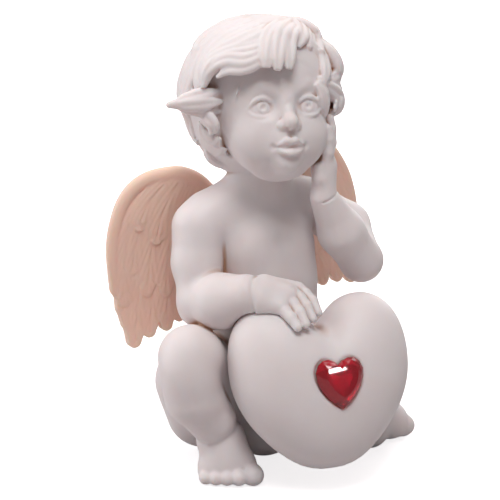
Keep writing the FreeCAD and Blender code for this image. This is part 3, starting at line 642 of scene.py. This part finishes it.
def hair_curve(a0, a1, e0, e1, swirl, R, lift=0.0, n=6):
    """A run over the skull from elevation e0 down to e1, turning as it goes (degrees)."""
    out = []
    for t in np.linspace(0, 1, n):
        hook = max(0.0, t - 0.7) / 0.3
        az = math.radians(a0 + (a1 - a0) * t + swirl * t * t + math.copysign(9.0, swirl or 1.0) * hook ** 2)
        el = math.radians(e0 + (e1 - e0) * t + 5.0 * hook ** 2)
        r = R + lift * t * t + 0.5 * hook
        out.append((HAIR_C[0] + r * math.cos(el) * math.sin(az), HAIR_C[1] + r * math.cos(el) * math.cos(az),
                    HAIR_C[2] + r * math.sin(el)))
    return out


def hair(V):
    g = V.group((-31, -27, 58), (21, 20, 101))
    cap = g.group((-22, -21, 60), (19, 20, 101))
    cap.add(ell(HAIR_C + V3(0.2, 0.6, 0), (15.3, 15.5, 15.7)))
    cap.add(ball(HAIR_C + V3(-0.2, 3.6, -7.4), 11.6), 4)    # hair down to the nape
    cap.add(ball(HAIR_C + V3(1.4, -2.4, 8.2), 7.4), 4)
    cap.sub(ell(HD(0.0, -15.0, -9.0), (12.2, 14.6, 14.4), HEAD_R), 1.0)
    cap.sub(tube(UNDER_FRINGE, [1.6, 2.3, 2.6, 2.3, 1.9, 1.3]), 0.8)
    cap.sub(tube(BESIDE_CHEEK, [2.4, 2.3, 2.2, 2.0, 1.6]), 0.8)
    g.merge(cap)
    rng = np.random.RandomState(7)
    # back and far side: tiers of locks swirling down from the crown
    for tier, (e0, e1, count, wid) in enumerate([(84, 30, 13, 5.2), (44, -14, 15, 4.8), (6, -44, 13, 4.6)]):
        for i in range(count):
            a = -92 + 204.0 * (i + 0.5 * (tier % 2)) / count + rng.uniform(-4, 4)
            sw = rng.uniform(12, 26) * (-1 if a < -40 else 1)
            if a < -60:
                sw = abs(sw) * 0.4
            c = hair_curve(a, a + sw * 0.5, e0, e1 + rng.uniform(-5, 5), sw, 15.9 + 0.25 * tier, 0.9)
            q = g.group(np.min(c, 0) - 5.5, np.max(c, 0) + 5.5)
            lock(q, c, wid + rng.uniform(-0.5, 0.6), 1.5, 4, k=0.35, taper=(0.45, 1.0, 0.35))
            g.merge(q, 0.25)
    # figure's left side, over the ear
    for (a0, a1, e0, e1, sw, w) in [(150, 116, 62, 8, -8, 3.8), (138, 104, 66, -6, -6, 4.0), (124, 92, 60, -18, -4, 4.0),
                                    (112, 82, 50, -26, 0, 4.0)]:
        lock(g, hair_curve(a0, a1, e0, e1, sw, 16.0, 0.6), w, 1.5, 4, k=0.35)
    for (a0, a1, e0, e1, sw) in [(128, 112, 12, -26, -14), (112, 98, 4, -36, -12), (98, 84, -2, -42, -12), (82, 70, -6, -46, -10)]:
        q = g.group(HAIR_C - 20, HAIR_C + 20)
        lock(q, hair_curve(a0, a1, e0, e1, sw, 15.6, 0.9), 3.6, 1.7, 3, k=0.35, taper=(0.4, 1.0, 0.4))
        g.merge(q, 0.25)
    g.sub(ell((-21.6, 0.0, 72.6), (5.9, 14.0, 6.6)), 1.6)   # the hair draws in below the flick
    g.add(cone((-16.4, -4.0, 81.2), (-26.0, -4.7, 81.4), 2.7, 0.7), 0.8)    # the body of the flick
    # the locks that frame the face
    for (name, w, hgt, m, pts) in LOCKS:
        q = g.group(np.min(pts, 0) - 5.5, np.max(pts, 0) + 5.5)
        ends = {"fore": (0.6, 1.0, 0.62), "hem_": (0.5, 1.0, 0.32), "side": (0.5, 1.0, 0.45), "curl": (0.5, 1.0, 0.3),
                "flic": (0.35, 1.0, 0.16)}.get(name[:4], (0.5, 1.0, 0.4))
        lock(q, pts, w, hgt, m, k=0.7 if name[:4] == "crow" else 0.3, taper=ends, lift={"fore": 0.35, "side": 0.3, "curl": 0.7, "hem_": 0.3}.get(name[:4], 0.1))
        g.merge(q, 0.22)
    V.merge(g, 0.45)


# ---------------------------------------------------------------- wings
# feathers: root (a, z), tip (a, z), bend sideways, half width at the widest, layer
QUILLS = [
    # long flight feathers, lowest layer
    ((18.6, 57.0), (25.2, 25.6), 1.8, 3.2, 0), ((21.0, 57.0), (26.6, 30.0), 2.2, 3.0, 0), ((23.4, 56.0), (27.8, 35.4), 2.2, 2.9, 0),
    ((25.0, 55.0), (28.6, 42.0), 1.4, 2.6, 0), ((16.0, 57.0), (21.6, 27.4), 1.6, 3.1, 0), ((13.6, 56.0), (17.6, 28.4), 1.4, 3.0, 0),
    ((11.2, 55.0), (14.4, 30.0), 1.2, 2.9, 0), ((9.0, 54.0), (11.2, 33.4), 0.8, 2.7, 0), ((6.8, 53.0), (7.6, 38.4), 0.3, 2.5, 0),
    # secondaries
    ((16.6, 59.0), (22.4, 37.0), 1.6, 3.1, 1), ((19.8, 59.0), (26.0, 42.4), 1.4, 3.0, 1), ((13.4, 58.6), (18.0, 36.4), 1.4, 3.0, 1),
    ((10.4, 57.6), (13.4, 39.6), 1.0, 2.8, 1), ((8.0, 56.0), (9.4, 44.0), 0.6, 2.5, 1),
    # coverts
    ((15.0, 60.4), (20.4, 48.6), 1.0, 3.0, 2), ((18.6, 60.4), (24.4, 52.0), 0.9, 2.8, 2), ((11.6, 59.8), (15.4, 48.8), 0.8, 2.8, 2),
    ((8.8, 58.0), (11.0, 50.4), 0.5, 2.4, 2),
]
EDGE = [(4.4, 50.0), (5.8, 55.4), (9.0, 59.6), (13.2, 62.0), (17.6, 62.4), (21.6, 61.9), (25.0, 60.2), (27.4, 57.4), (28.9, 54.0), (30.0, 49.6), (30.2, 45.0), (29.9, 40.0), (29.4, 36.6)]


def wing_dims(mirror):
    """Maps the wing's own (a, b, z) to design mm; a from the back's middle, b out of the back."""
    if mirror > 0:
        c, s, p = math.cos(math.radians(16)), math.sin(math.radians(16)), (5.0, 50.0)
        return lambda a, b, z: V3(-1.5 + p[0] + (a - p[0]) * c - (z - p[1]) * s, 10.9 + b, p[1] + (a - p[0]) * s + (z - p[1]) * c)
    return lambda a, b, z: V3(-1.5 - a, 10.9 + b, z)


def curve_back(a, z):
    """The wing cups backward toward its outer and lower edges."""
    return 0.0016 * max(a - 6.0, 0.0) ** 2 + 0.0007 * max(52.0 - z, 0.0) ** 2


def wing(mirror, h):
    M = wing_dims(mirror)
    lo, hi = (V3(-36, 2, 19), V3(0, 17, 68)) if mirror < 0 else (V3(-3, 2, 19), V3(36, 17, 70))
    V = Vol(lo, hi, h)

    def blade(root, tip, bend, hw, layer, g):
        """One feather's centreline, bowed sideways, with its half widths; the flat leaf, shaft groove and front and
        back faces are made from these below. One feather: a flat leaf with a shaft groove, front and back faces
        alike.
        """
        r, t = V3(root[0], 0, root[1]), V3(tip[0], 0, tip[1])
        d = t - r
        L = np.linalg.norm(d)
        side = V3(d[2], 0, -d[0]) / L
        if side[0] < 0:
            side = -side
        n = 8
        pts, rad = [], []
        for u in np.linspace(0, 1, n):
            p = r + d * u + side * bend * math.sin(math.pi * u) * 0.9
            rad.append(hw * np.interp(u, [0, 0.3, 0.8, 0.93, 1], [0.7, 0.95, 1.0, 0.78, 0.45]))
            pts.append(p)
        return pts, rad

    fields = {}
    for (root, tip, bend, hw, layer) in QUILLS:
        pts, rad = blade(root, tip, bend, hw, layer, V)
        P2 = np.array([(p[0], p[2]) for p in pts])
        fields.setdefault(layer, []).append((P2, np.array(rad)))
    # evaluate in the wing's own plane: distance to each feather in (a, z), then a thin slab
    X, Y, Z = V.ax[0].reshape(-1, 1, 1), V.ax[1].reshape(1, -1, 1), V.ax[2].reshape(1, 1, -1)
    if mirror > 0:
        c, s = math.cos(math.radians(16)), math.sin(math.radians(16))
        x, z = X + 1.5 - 5.0, Z - 50.0
        A, W = 5.0 + x * c + z * s, 50.0 - x * s + z * c
    else:
        A, W = -1.5 - X + 0 * Z, Z + 0 * X
    A, W = np.broadcast_arrays(A, W)
    A, W = A[:, 0, :].astype(np.float32), W[:, 0, :].astype(np.float32)
    BB = (Y - 10.9).astype(np.float32)                      # 0 at the slab's middle
    cup = (0.0016 * np.maximum(A - 6, 0) ** 2 + 0.0007 * np.maximum(52 - W, 0) ** 2).astype(np.float32)
    F = np.full(V.F.shape, FAR, np.float32)
    rng = np.random.RandomState(3)
    order = 0
    for layer in (0, 1, 2):
        lift = [0.0, 0.55, 1.0][layer]
        for (P2, rad) in fields[layer]:
            order += 1
            d = None
            sgn = None
            for i in range(len(P2) - 1):
                e = P2[i + 1] - P2[i]
                l2 = float(e @ e)
                u = np.clip(((A - P2[i][0]) * e[0] + (W - P2[i][1]) * e[1]) / l2, 0, 1)
                q = np.hypot(A - P2[i][0] - e[0] * u, W - P2[i][1] - e[1] * u)
                v = q - (rad[i] + (rad[i + 1] - rad[i]) * u)
                if d is None:
                    d, axis = v, q
                else:
                    m = v < d
                    d, axis = np.where(m, v, d), np.where(m, q, axis)
            hwm = rad.max()
            dome = 0.36 * (1 - np.clip(axis / hwm, 0, 1) ** 2)          # arched section
            shaft = 0.16 * np.exp(-(axis / 0.28) ** 2)
            barb = 0.05 * np.sin(axis * 5.2 + (W + A * 0.35) * 1.4)
            half = 0.66 + dome - shaft + barb
            tilt = 0.10 * ((order % 3) - 1)
            for sgn in (-1, 1):                              # layers on the front and on the back
                mid = sgn * (lift * 0.62) + tilt
                v3 = np.abs(BB - cup[:, None, :] * 1.0 - mid) - half[:, None, :]
                dd = d[:, None, :]
                slab = np.minimum(np.maximum(dd, v3), 0) + np.sqrt(np.maximum(dd, 0) ** 2 + np.maximum(v3, 0) ** 2) - 0.0
                F = smin(F, slab.astype(np.float32), 0.34)
    V.F = F
    # rolled leading edge
    E = spline(EDGE, 40)
    rr = np.interp(np.linspace(0, 1, 40), [0, 0.12, 0.5, 0.85, 1], [1.8, 1.8, 1.5, 1.25, 0.6])
    V.add(tube([M(a, curve_back(a, z) - 0.1, z) for a, z in E], rr), 0.3)
    inner = [(a + (15.5 - a) * 2.2 / math.hypot(a - 15.5, z - 48), z + (48 - z) * 2.2 / math.hypot(a - 15.5, z - 48)) for a, z in E]
    V.add(tube([M(a, curve_back(a, z), z) for a, z in inner], [1.15] * len(inner)), 0.35)
    # root and tenon
    V.add(cone(M(4.4, 0.0, 48.5), M(6.6, 0.0, 55.0), 2.5, 2.4), 1.2)
    tx = -1.5 + (5.6 if mirror > 0 else -5.6)
    V.add(cone((tx, 10.9, 50.0), (tx, 3.0, 50.0), 2.25, 2.0), 0.5)
    return V


# ---------------------------------------------------------------- the cast figure and the cast heart
def figure(h):
    V = Vol((-34, -34, -1.2), (35, 19, 101), h)
    torso(V)
    left_leg(V)
    right_leg(V)
    head(V)
    right_arm(V)
    left_arm(V)
    hair(V)
    # room for the heart, with the seam left between the castings
    f, lo, hi = heart_prim()
    V.sub((lambda X, Y, Z: f(X, Y, Z) - 0.2, lo, hi), 0.0)
    V.sub(cone(HT(0, 5, 4), HT(0, 17.4, 4), 3.35, 3.35))
    for tx in (-7.1, 4.1):
        V.sub(cone((tx, 20, 50), (tx, 3.4, 50), 2.5, 2.5))
    # flat seat
    Z = V.ax[2].reshape(1, 1, -1)
    V.F = np.maximum(V.F, -Z)
    return V


GEM_UP, GEM_DOWN, GEM_HALF = 4.75, 5.75, 5.35


def gem_ring(grow=0.0, n=11):
    """The stone's girdle outline, (x, z) about the heart's centre."""
    ctrl = [(0.0, 0.66), (0.22, 0.90), (0.54, 1.0), (0.83, 0.84), (1.0, 0.44),
            (0.94, -0.02), (0.72, -0.42), (0.37, -0.77), (0.0, -1.0)]
    right = spline([(u * GEM_HALF, w * (GEM_UP if w > 0 else GEM_DOWN)) for u, w in ctrl], n)
    left = right[::-1][1:-1] * [-1, 1]
    P = np.vstack([right, left])
    k = 1.0 + grow / GEM_HALF
    return [(x * k + 0.15, 0.2 + (z - 0.2) * k + 0.45) for x, z in P]


def gem_room(grow, y0, y1):
    """A heart-shaped prism in the heart's frame, from y0 to y1."""
    P = gem_ring(grow)
    R = HEART_R

    def f(X, Y, Z):
        x, y, z = X - HEART_C[0], Y - HEART_C[1], Z - HEART_C[2]
        u = x * R[0, 0] + y * R[1, 0] + z * R[2, 0]
        v = x * R[0, 1] + y * R[1, 1] + z * R[2, 1]
        w = x * R[0, 2] + y * R[1, 2] + z * R[2, 2]
        d = np.full(u.shape, 1e9)
        inside = np.zeros(u.shape, bool)
        for i in range(len(P)):
            (ax, az), (bx, bz) = P[i], P[(i + 1) % len(P)]
            ex, ez = bx - ax, bz - az
            h = np.clip(((u - ax) * ex + (w - az) * ez) / (ex * ex + ez * ez), 0, 1)
            d = np.minimum(d, (u - ax - ex * h) ** 2 + (w - az - ez * h) ** 2)
            if az != bz:
                inside ^= ((az > w) != (bz > w)) & (u < ex * (w - az) / (bz - az) + ax)
        d = np.sqrt(d)
        d = np.where(inside, -d, d)
        slab = np.abs(v - (y0 + y1) / 2) - abs(y1 - y0) / 2
        return np.maximum(d, slab)
    c = HT(0, (y0 + y1) / 2, 0.6)
    return f, c - 8.5, c + 8.5


def heart(h):
    V = Vol(HEART_C - 23.5, HEART_C + 23.5, h)
    V.add(heart_prim())
    # a soft-edged dish around the stone, and the pocket it sits in
    V.sub(gem_room(0.35, -15.5, -11.45), 0.9)
    V.sub(gem_room(0.12, -16.5, -10.1))
    V.add(cone(HT(0, 6.0, 4), HT(0, 15.6, 4), 3.0, 3.0), 0.4)
    return V


# ---------------------------------------------------------------- meshes in the row frame
def dent(P, k=0.55):
    """Clips a crevice value to 0 (open) .. 1 (deep)."""
    return np.clip(P, 0, 1)


def crevice(V, pts):
    """Share of solid around each point, from blocks of the field: >0.5 means a hollow. The two blurs are the masks for
    the painted shade in creases and in broad hollows.
    """
    F = V.F
    step = max(1, int(round(0.55 / V.h)))
    n = (np.array(F.shape) // step) * step
    S = (F[:n[0], :n[1], :n[2]] < 0).astype(np.float32)
    S = S.reshape(n[0] // step, step, n[1] // step, step, n[2] // step, step).mean((1, 3, 5))
    out = []
    for times in (3, 14):
        B = blur_field(S.copy(), times)
        q = (pts - V.lo) / (V.h * step) - 0.5
        i = np.clip(np.floor(q).astype(int), 0, np.array(B.shape) - 2)
        t = np.clip(q - i, 0, 1)
        v = 0
        for dx in (0, 1):
            for dy in (0, 1):
                for dz in (0, 1):
                    w = ((t[:, 0] if dx else 1 - t[:, 0]) * (t[:, 1] if dy else 1 - t[:, 1])
                         * (t[:, 2] if dz else 1 - t[:, 2]))
                    v = v + w * B[i[:, 0] + dx, i[:, 1] + dy, i[:, 2] + dz]
        out.append(v)
    return out


def to_object(name, V, node, mat, smooth=0):
    pts, faces = V.mesh(smooth)
    pts, faces = only_biggest(pts, faces)
    # masks for painted shade: fine for creases, broad for hollows
    fine, broad = crevice(V, pts)
    P = (pts + SHIFT) * 0.001
    me = bpy.data.meshes.new(name)
    me.vertices.add(len(P))
    me.vertices.foreach_set("co", P.astype(np.float32).ravel())
    me.loops.add(faces.size)
    me.loops.foreach_set("vertex_index", faces.astype(np.int32).ravel())
    me.polygons.add(len(faces))
    me.polygons.foreach_set("loop_start", np.arange(0, faces.size, 4, dtype=np.int32))
    me.polygons.foreach_set("loop_total", np.full(len(faces), 4, np.int32))
    me.update(calc_edges=True)
    me.validate()
    me.polygons.foreach_set("use_smooth", np.ones(len(me.polygons), bool))
    # the painted-shade masks are stored on the mesh for the resin materials
    for an, v in (("crease_shade", fine), ("hollow", broad)):
        at = me.attributes.new(an, "FLOAT", "POINT")
        at.data.foreach_set("value", np.asarray(v, np.float32))
    o = bpy.data.objects.new(name, me)
    bpy.context.scene.collection.objects.link(o)
    me.materials.append(mat)
    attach(o, "root")
    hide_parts(node)
    return o


# ---------------------------------------------------------------- materials
def new_mat(name):
    m = bpy.data.materials.new(name)
    m.use_nodes = True
    nt = m.node_tree
    return m, nt, nt.nodes["Principled BSDF"]


def node(nt, kind, **kw):
    n = nt.nodes.new(kind)
    for k, v in kw.items():
        setattr(n, k, v)
    return n


def cast_resin(name, open_col, painted_shade_col, sss=0.35, radius=(1.0, 0.55, 0.4), scale=0.0035, rough=0.5):
    m, nt, b = new_mat(name)
    L = nt.links.new
    # painted shade: the crease and hollow masks mix the colour toward a warm brown where shadow falls in recesses; the
    # noise adds random tone
    a1 = node(nt, "ShaderNodeAttribute", attribute_name="crease_shade")
    a2 = node(nt, "ShaderNodeAttribute", attribute_name="hollow")
    r1 = node(nt, "ShaderNodeMapRange")
    r1.inputs["From Min"].default_value = 0.52
    r1.inputs["From Max"].default_value = 0.72
    r2 = node(nt, "ShaderNodeMapRange")
    r2.inputs["From Min"].default_value = 0.55
    r2.inputs["From Max"].default_value = 0.88
    L(a1.outputs["Fac"], r1.inputs["Value"])
    L(a2.outputs["Fac"], r2.inputs["Value"])
    mx = node(nt, "ShaderNodeMath", operation="MULTIPLY_ADD", use_clamp=True)
    L(r1.outputs["Result"], mx.inputs[0])
    mx.inputs[1].default_value = 0.75
    half = node(nt, "ShaderNodeMath", operation="MULTIPLY")
    L(r2.outputs["Result"], half.inputs[0])
    half.inputs[1].default_value = 0.55
    L(half.outputs[0], mx.inputs[2])
    tc = node(nt, "ShaderNodeTexCoord")
    nz = node(nt, "ShaderNodeTexNoise")
    nz.inputs["Scale"].default_value = 90.0
    nz.inputs["Detail"].default_value = 4.0
    L(tc.outputs["Object"], nz.inputs["Vector"])
    wob = node(nt, "ShaderNodeMath", operation="MULTIPLY_ADD", use_clamp=True)
    L(nz.outputs["Fac"], wob.inputs[0])
    wob.inputs[1].default_value = 0.22
    sub = node(nt, "ShaderNodeMath", operation="ADD", use_clamp=True)
    sub.inputs[1].default_value = -0.11
    L(mx.outputs[0], sub.inputs[0])
    L(sub.outputs[0], wob.inputs[2])
    mix = node(nt, "ShaderNodeMix", data_type="RGBA")
    mix.inputs["A"].default_value = (*open_col, 1)
    # B is the painted shade colour
    mix.inputs["B"].default_value = (*painted_shade_col, 1)
    L(wob.outputs[0], mix.inputs["Factor"])
    L(mix.outputs["Result"], b.inputs["Base Color"])
    b.inputs["Subsurface Weight"].default_value = sss
    b.inputs["Subsurface Radius"].default_value = radius
    b.inputs["Subsurface Scale"].default_value = scale
    b.inputs["IOR"].default_value = 1.49
    b.inputs["Specular IOR Level"].default_value = 0.35
    # grain of the mould: fine pores and a slight unevenness
    g1 = node(nt, "ShaderNodeTexNoise")
    g1.inputs["Scale"].default_value = 900.0
    g1.inputs["Detail"].default_value = 3.0
    L(tc.outputs["Object"], g1.inputs["Vector"])
    rr = node(nt, "ShaderNodeMapRange")
    rr.inputs["To Min"].default_value = rough - 0.07
    rr.inputs["To Max"].default_value = rough + 0.09
    L(nz.outputs["Fac"], rr.inputs["Value"])
    L(rr.outputs["Result"], b.inputs["Roughness"])
    bump = node(nt, "ShaderNodeBump")
    bump.inputs["Strength"].default_value = 0.10
    bump.inputs["Distance"].default_value = 0.00025
    L(g1.outputs["Fac"], bump.inputs["Height"])
    L(bump.outputs["Normal"], b.inputs["Normal"])
    return m


# the second colour of each is the painted shade for creases and hollows
RESIN = cast_resin("cast_resin", (0.80, 0.75, 0.765), (0.50, 0.29, 0.20))
WING = cast_resin("wing_resin", (0.82, 0.62, 0.52), (0.56, 0.31, 0.20), sss=0.45, radius=(1.0, 0.45, 0.25), scale=0.004)
WING.node_tree.nodes["Principled BSDF"].inputs["Transmission Weight"].default_value = 0.0

STONE, nt, b = new_mat("red_stone")
b.inputs["Base Color"].default_value = (0.80, 0.012, 0.035, 1)
b.inputs["Roughness"].default_value = 0.015
b.inputs["IOR"].default_value = 1.62
b.inputs["Transmission Weight"].default_value = 0.9

FOIL, nt, b = new_mat("silver_foil")
b.inputs["Base Color"].default_value = (0.86, 0.85, 0.86, 1)
b.inputs["Metallic"].default_value = 1.0
b.inputs["Roughness"].default_value = 0.12

GLUE, nt, b = new_mat("clear_adhesive")
b.inputs["Base Color"].default_value = (0.86, 0.80, 0.70, 1)
b.inputs["Roughness"].default_value = 0.15
b.inputs["Transmission Weight"].default_value = 0.6

FLOOR, nt, b = new_mat("pale_table")
nz = node(nt, "ShaderNodeTexNoise")
nz.inputs["Scale"].default_value = 14.0
mr = node(nt, "ShaderNodeMapRange")
mr.inputs["To Min"].default_value = 0.42
mr.inputs["To Max"].default_value = 0.55
nt.links.new(nz.outputs["Fac"], mr.inputs["Value"])
nt.links.new(mr.outputs["Result"], b.inputs["Roughness"])
b.inputs["Base Color"].default_value = (0.55, 0.525, 0.53, 1)
b.inputs["Emission Color"].default_value = (1.0, 0.985, 0.99, 1)
lp = node(nt, "ShaderNodeLightPath")
gl = node(nt, "ShaderNodeMath", operation="MULTIPLY")
gl.inputs[1].default_value = 0.80
ge = node(nt, "ShaderNodeNewGeometry")
ln = node(nt, "ShaderNodeVectorMath", operation="LENGTH")
fr = node(nt, "ShaderNodeMapRange", interpolation_type="SMOOTHSTEP")
fr.inputs["From Min"].default_value = 0.10
fr.inputs["From Max"].default_value = 0.60
fr.inputs["To Min"].default_value = 0.80
fr.inputs["To Max"].default_value = 1.30
nt.links.new(ge.outputs["Position"], ln.inputs[0])
nt.links.new(ln.outputs["Value"], fr.inputs["Value"])
nt.links.new(fr.outputs["Result"], gl.inputs[1])
nt.links.new(lp.outputs["Is Camera Ray"], gl.inputs[0])
nt.links.new(gl.outputs[0], b.inputs["Emission Strength"])

for name, mat in (("gem_foil", FOIL), ("gem_adhesive", GLUE), ("heart_adhesive", GLUE),
                  ("right_wing_adhesive", GLUE), ("left_wing_adhesive", GLUE)):
    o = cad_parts[name]
    o.data.materials.clear()
    o.data.materials.append(mat)
    for p in o.data.polygons:
        p.use_smooth = False

# ---------------------------------------------------------------- build
STEP = 0.27
to_object("figure", figure(STEP), "figure_casting", RESIN)
to_object("puffed_heart", heart(STEP), "heart_casting", RESIN, 1)
to_object("wing_right", wing(-1, STEP * 0.85), "right_wing", WING)
to_object("wing_left", wing(1, STEP * 0.85), "left_wing", WING)



def cut_stone():
    """The red stone: a flat back, a thin girdle, a faceted crown and a flat table."""
    base = 10.52
    ring0 = np.array(gem_ring())
    n = len(ring0)
    mid = ring0.mean(0)

    def level(k, h, half=False):
        P = mid + (ring0 - mid) * k
        if half:
            P = (P + np.roll(P, -1, 0)) / 2
        return [tuple((HT(x, -(base + h), z) + SHIFT) * 0.001) for x, z in P]

    rings = [level(0.94, 0.0), level(1.0, 0.85), level(1.0, 1.1), level(0.86, 2.05, True), level(0.66, 2.75)]
    verts = [p for r in rings for p in r]
    faces = [list(range(n)), list(range(4 * n, 5 * n))[::-1]]
    for i in range(n):
        j = (i + 1) % n
        faces.append([i, i + n, j + n, j])
        faces.append([i + n, i + 2 * n, j + 2 * n, j + n])
        faces.append([i + 2 * n, i + 3 * n, j + 2 * n])
        faces.append([j + 2 * n, i + 3 * n, j + 3 * n])
        faces.append([i + 3 * n, j + 4 * n, j + 3 * n])
        faces.append([i + 3 * n, i + 4 * n, j + 4 * n])
    me = bpy.data.meshes.new("cut_stone")
    me.from_pydata(verts, [], faces)
    me.validate()
    import bmesh
    bm = bmesh.new()
    bm.from_mesh(me)
    bmesh.ops.recalc_face_normals(bm, faces=bm.faces)
    bm.to_mesh(me)
    bm.free()
    o = bpy.data.objects.new("cut_stone", me)
    bpy.context.scene.collection.objects.link(o)
    me.materials.append(STONE)
    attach(o, "root")
    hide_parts("heart_gem")


cut_stone()

# ---------------------------------------------------------------- stage
scene = bpy.context.scene


def plane(name, pts, mat):
    me = bpy.data.meshes.new(name)
    me.from_pydata(pts, [], [list(range(len(pts)))])
    o = bpy.data.objects.new(name, me)
    scene.collection.objects.link(o)
    me.materials.append(mat)
    return o


floor = plane("table_top", [(-3, -3, 0), (3, -3, 0), (3, 3, 0), (-3, 3, 0)], FLOOR)


def area(name, loc, target, size, power, color=(1, 1, 1)):
    from mathutils import Vector
    d = bpy.data.lights.new(name, "AREA")
    d.shape = "RECTANGLE"
    d.size, d.size_y = size
    d.energy = power
    d.color = color
    o = bpy.data.objects.new(name, d)
    scene.collection.objects.link(o)
    o.location = loc
    o.rotation_euler = (Vector(target) - Vector(loc)).to_track_quat("-Z", "Y").to_euler()
    return o


MID = (0.0, 0.0, 0.05)
area("key", (-0.14, -0.24, 0.62), MID, (0.26, 0.26), 2.5, (1.0, 0.985, 0.97))
area("top_back", (0.10, 0.22, 0.55), MID, (0.4, 0.4), 0.9, (1.0, 0.985, 0.97))
area("back_left", (-0.46, 0.36, 0.26), MID, (0.4, 0.5), 1.8)
area("back_right", (0.50, 0.36, 0.30), MID, (0.4, 0.5), 1.5)
area("glint", (0.1168, -0.445, 0.1352), (-0.001, -0.023, 0.028), (0.0072, 0.0016), 0.0018)

w = bpy.data.worlds.new("white_room")
scene.world = w
w.use_nodes = True
bg = w.node_tree.nodes["Background"]
bg.inputs["Color"].default_value = (1.0, 0.985, 0.98, 1)
bg.inputs["Strength"].default_value = 0.24
seen = w.node_tree.nodes.new("ShaderNodeBackground")
seen.inputs["Color"].default_value = (1.0, 0.99, 0.99, 1)
seen.inputs["Strength"].default_value = 1.0
path = w.node_tree.nodes.new("ShaderNodeLightPath")
pick = w.node_tree.nodes.new("ShaderNodeMixShader")
w.node_tree.links.new(path.outputs["Is Camera Ray"], pick.inputs[0])
w.node_tree.links.new(bg.outputs[0], pick.inputs[1])
w.node_tree.links.new(seen.outputs[0], pick.inputs[2])
w.node_tree.links.new(pick.outputs[0], w.node_tree.nodes["World Output"].inputs["Surface"])

cam = bpy.data.cameras.new("camera")
co = bpy.data.objects.new("camera", cam)
scene.collection.objects.link(co)
scene.camera = co
AZ, EL, DIST = math.radians(-30.0), math.radians(16.0), 0.430
aim = np.array([-0.011, -0.012, 0.050]) + SHIFT * 0.001
eye = aim + DIST * np.array([math.sin(AZ) * math.cos(EL), -math.cos(AZ) * math.cos(EL), math.sin(EL)])
from mathutils import Vector
co.location = eye.tolist()
co.rotation_euler = Vector((aim - eye).tolist()).to_track_quat("-Z", "Y").to_euler()
cam.sensor_width = 36.0
cam.lens = 147.1
cam.clip_start, cam.clip_end = 0.01, 20.0

scene.view_settings.view_transform = "Standard"
scene.view_settings.look = "None"
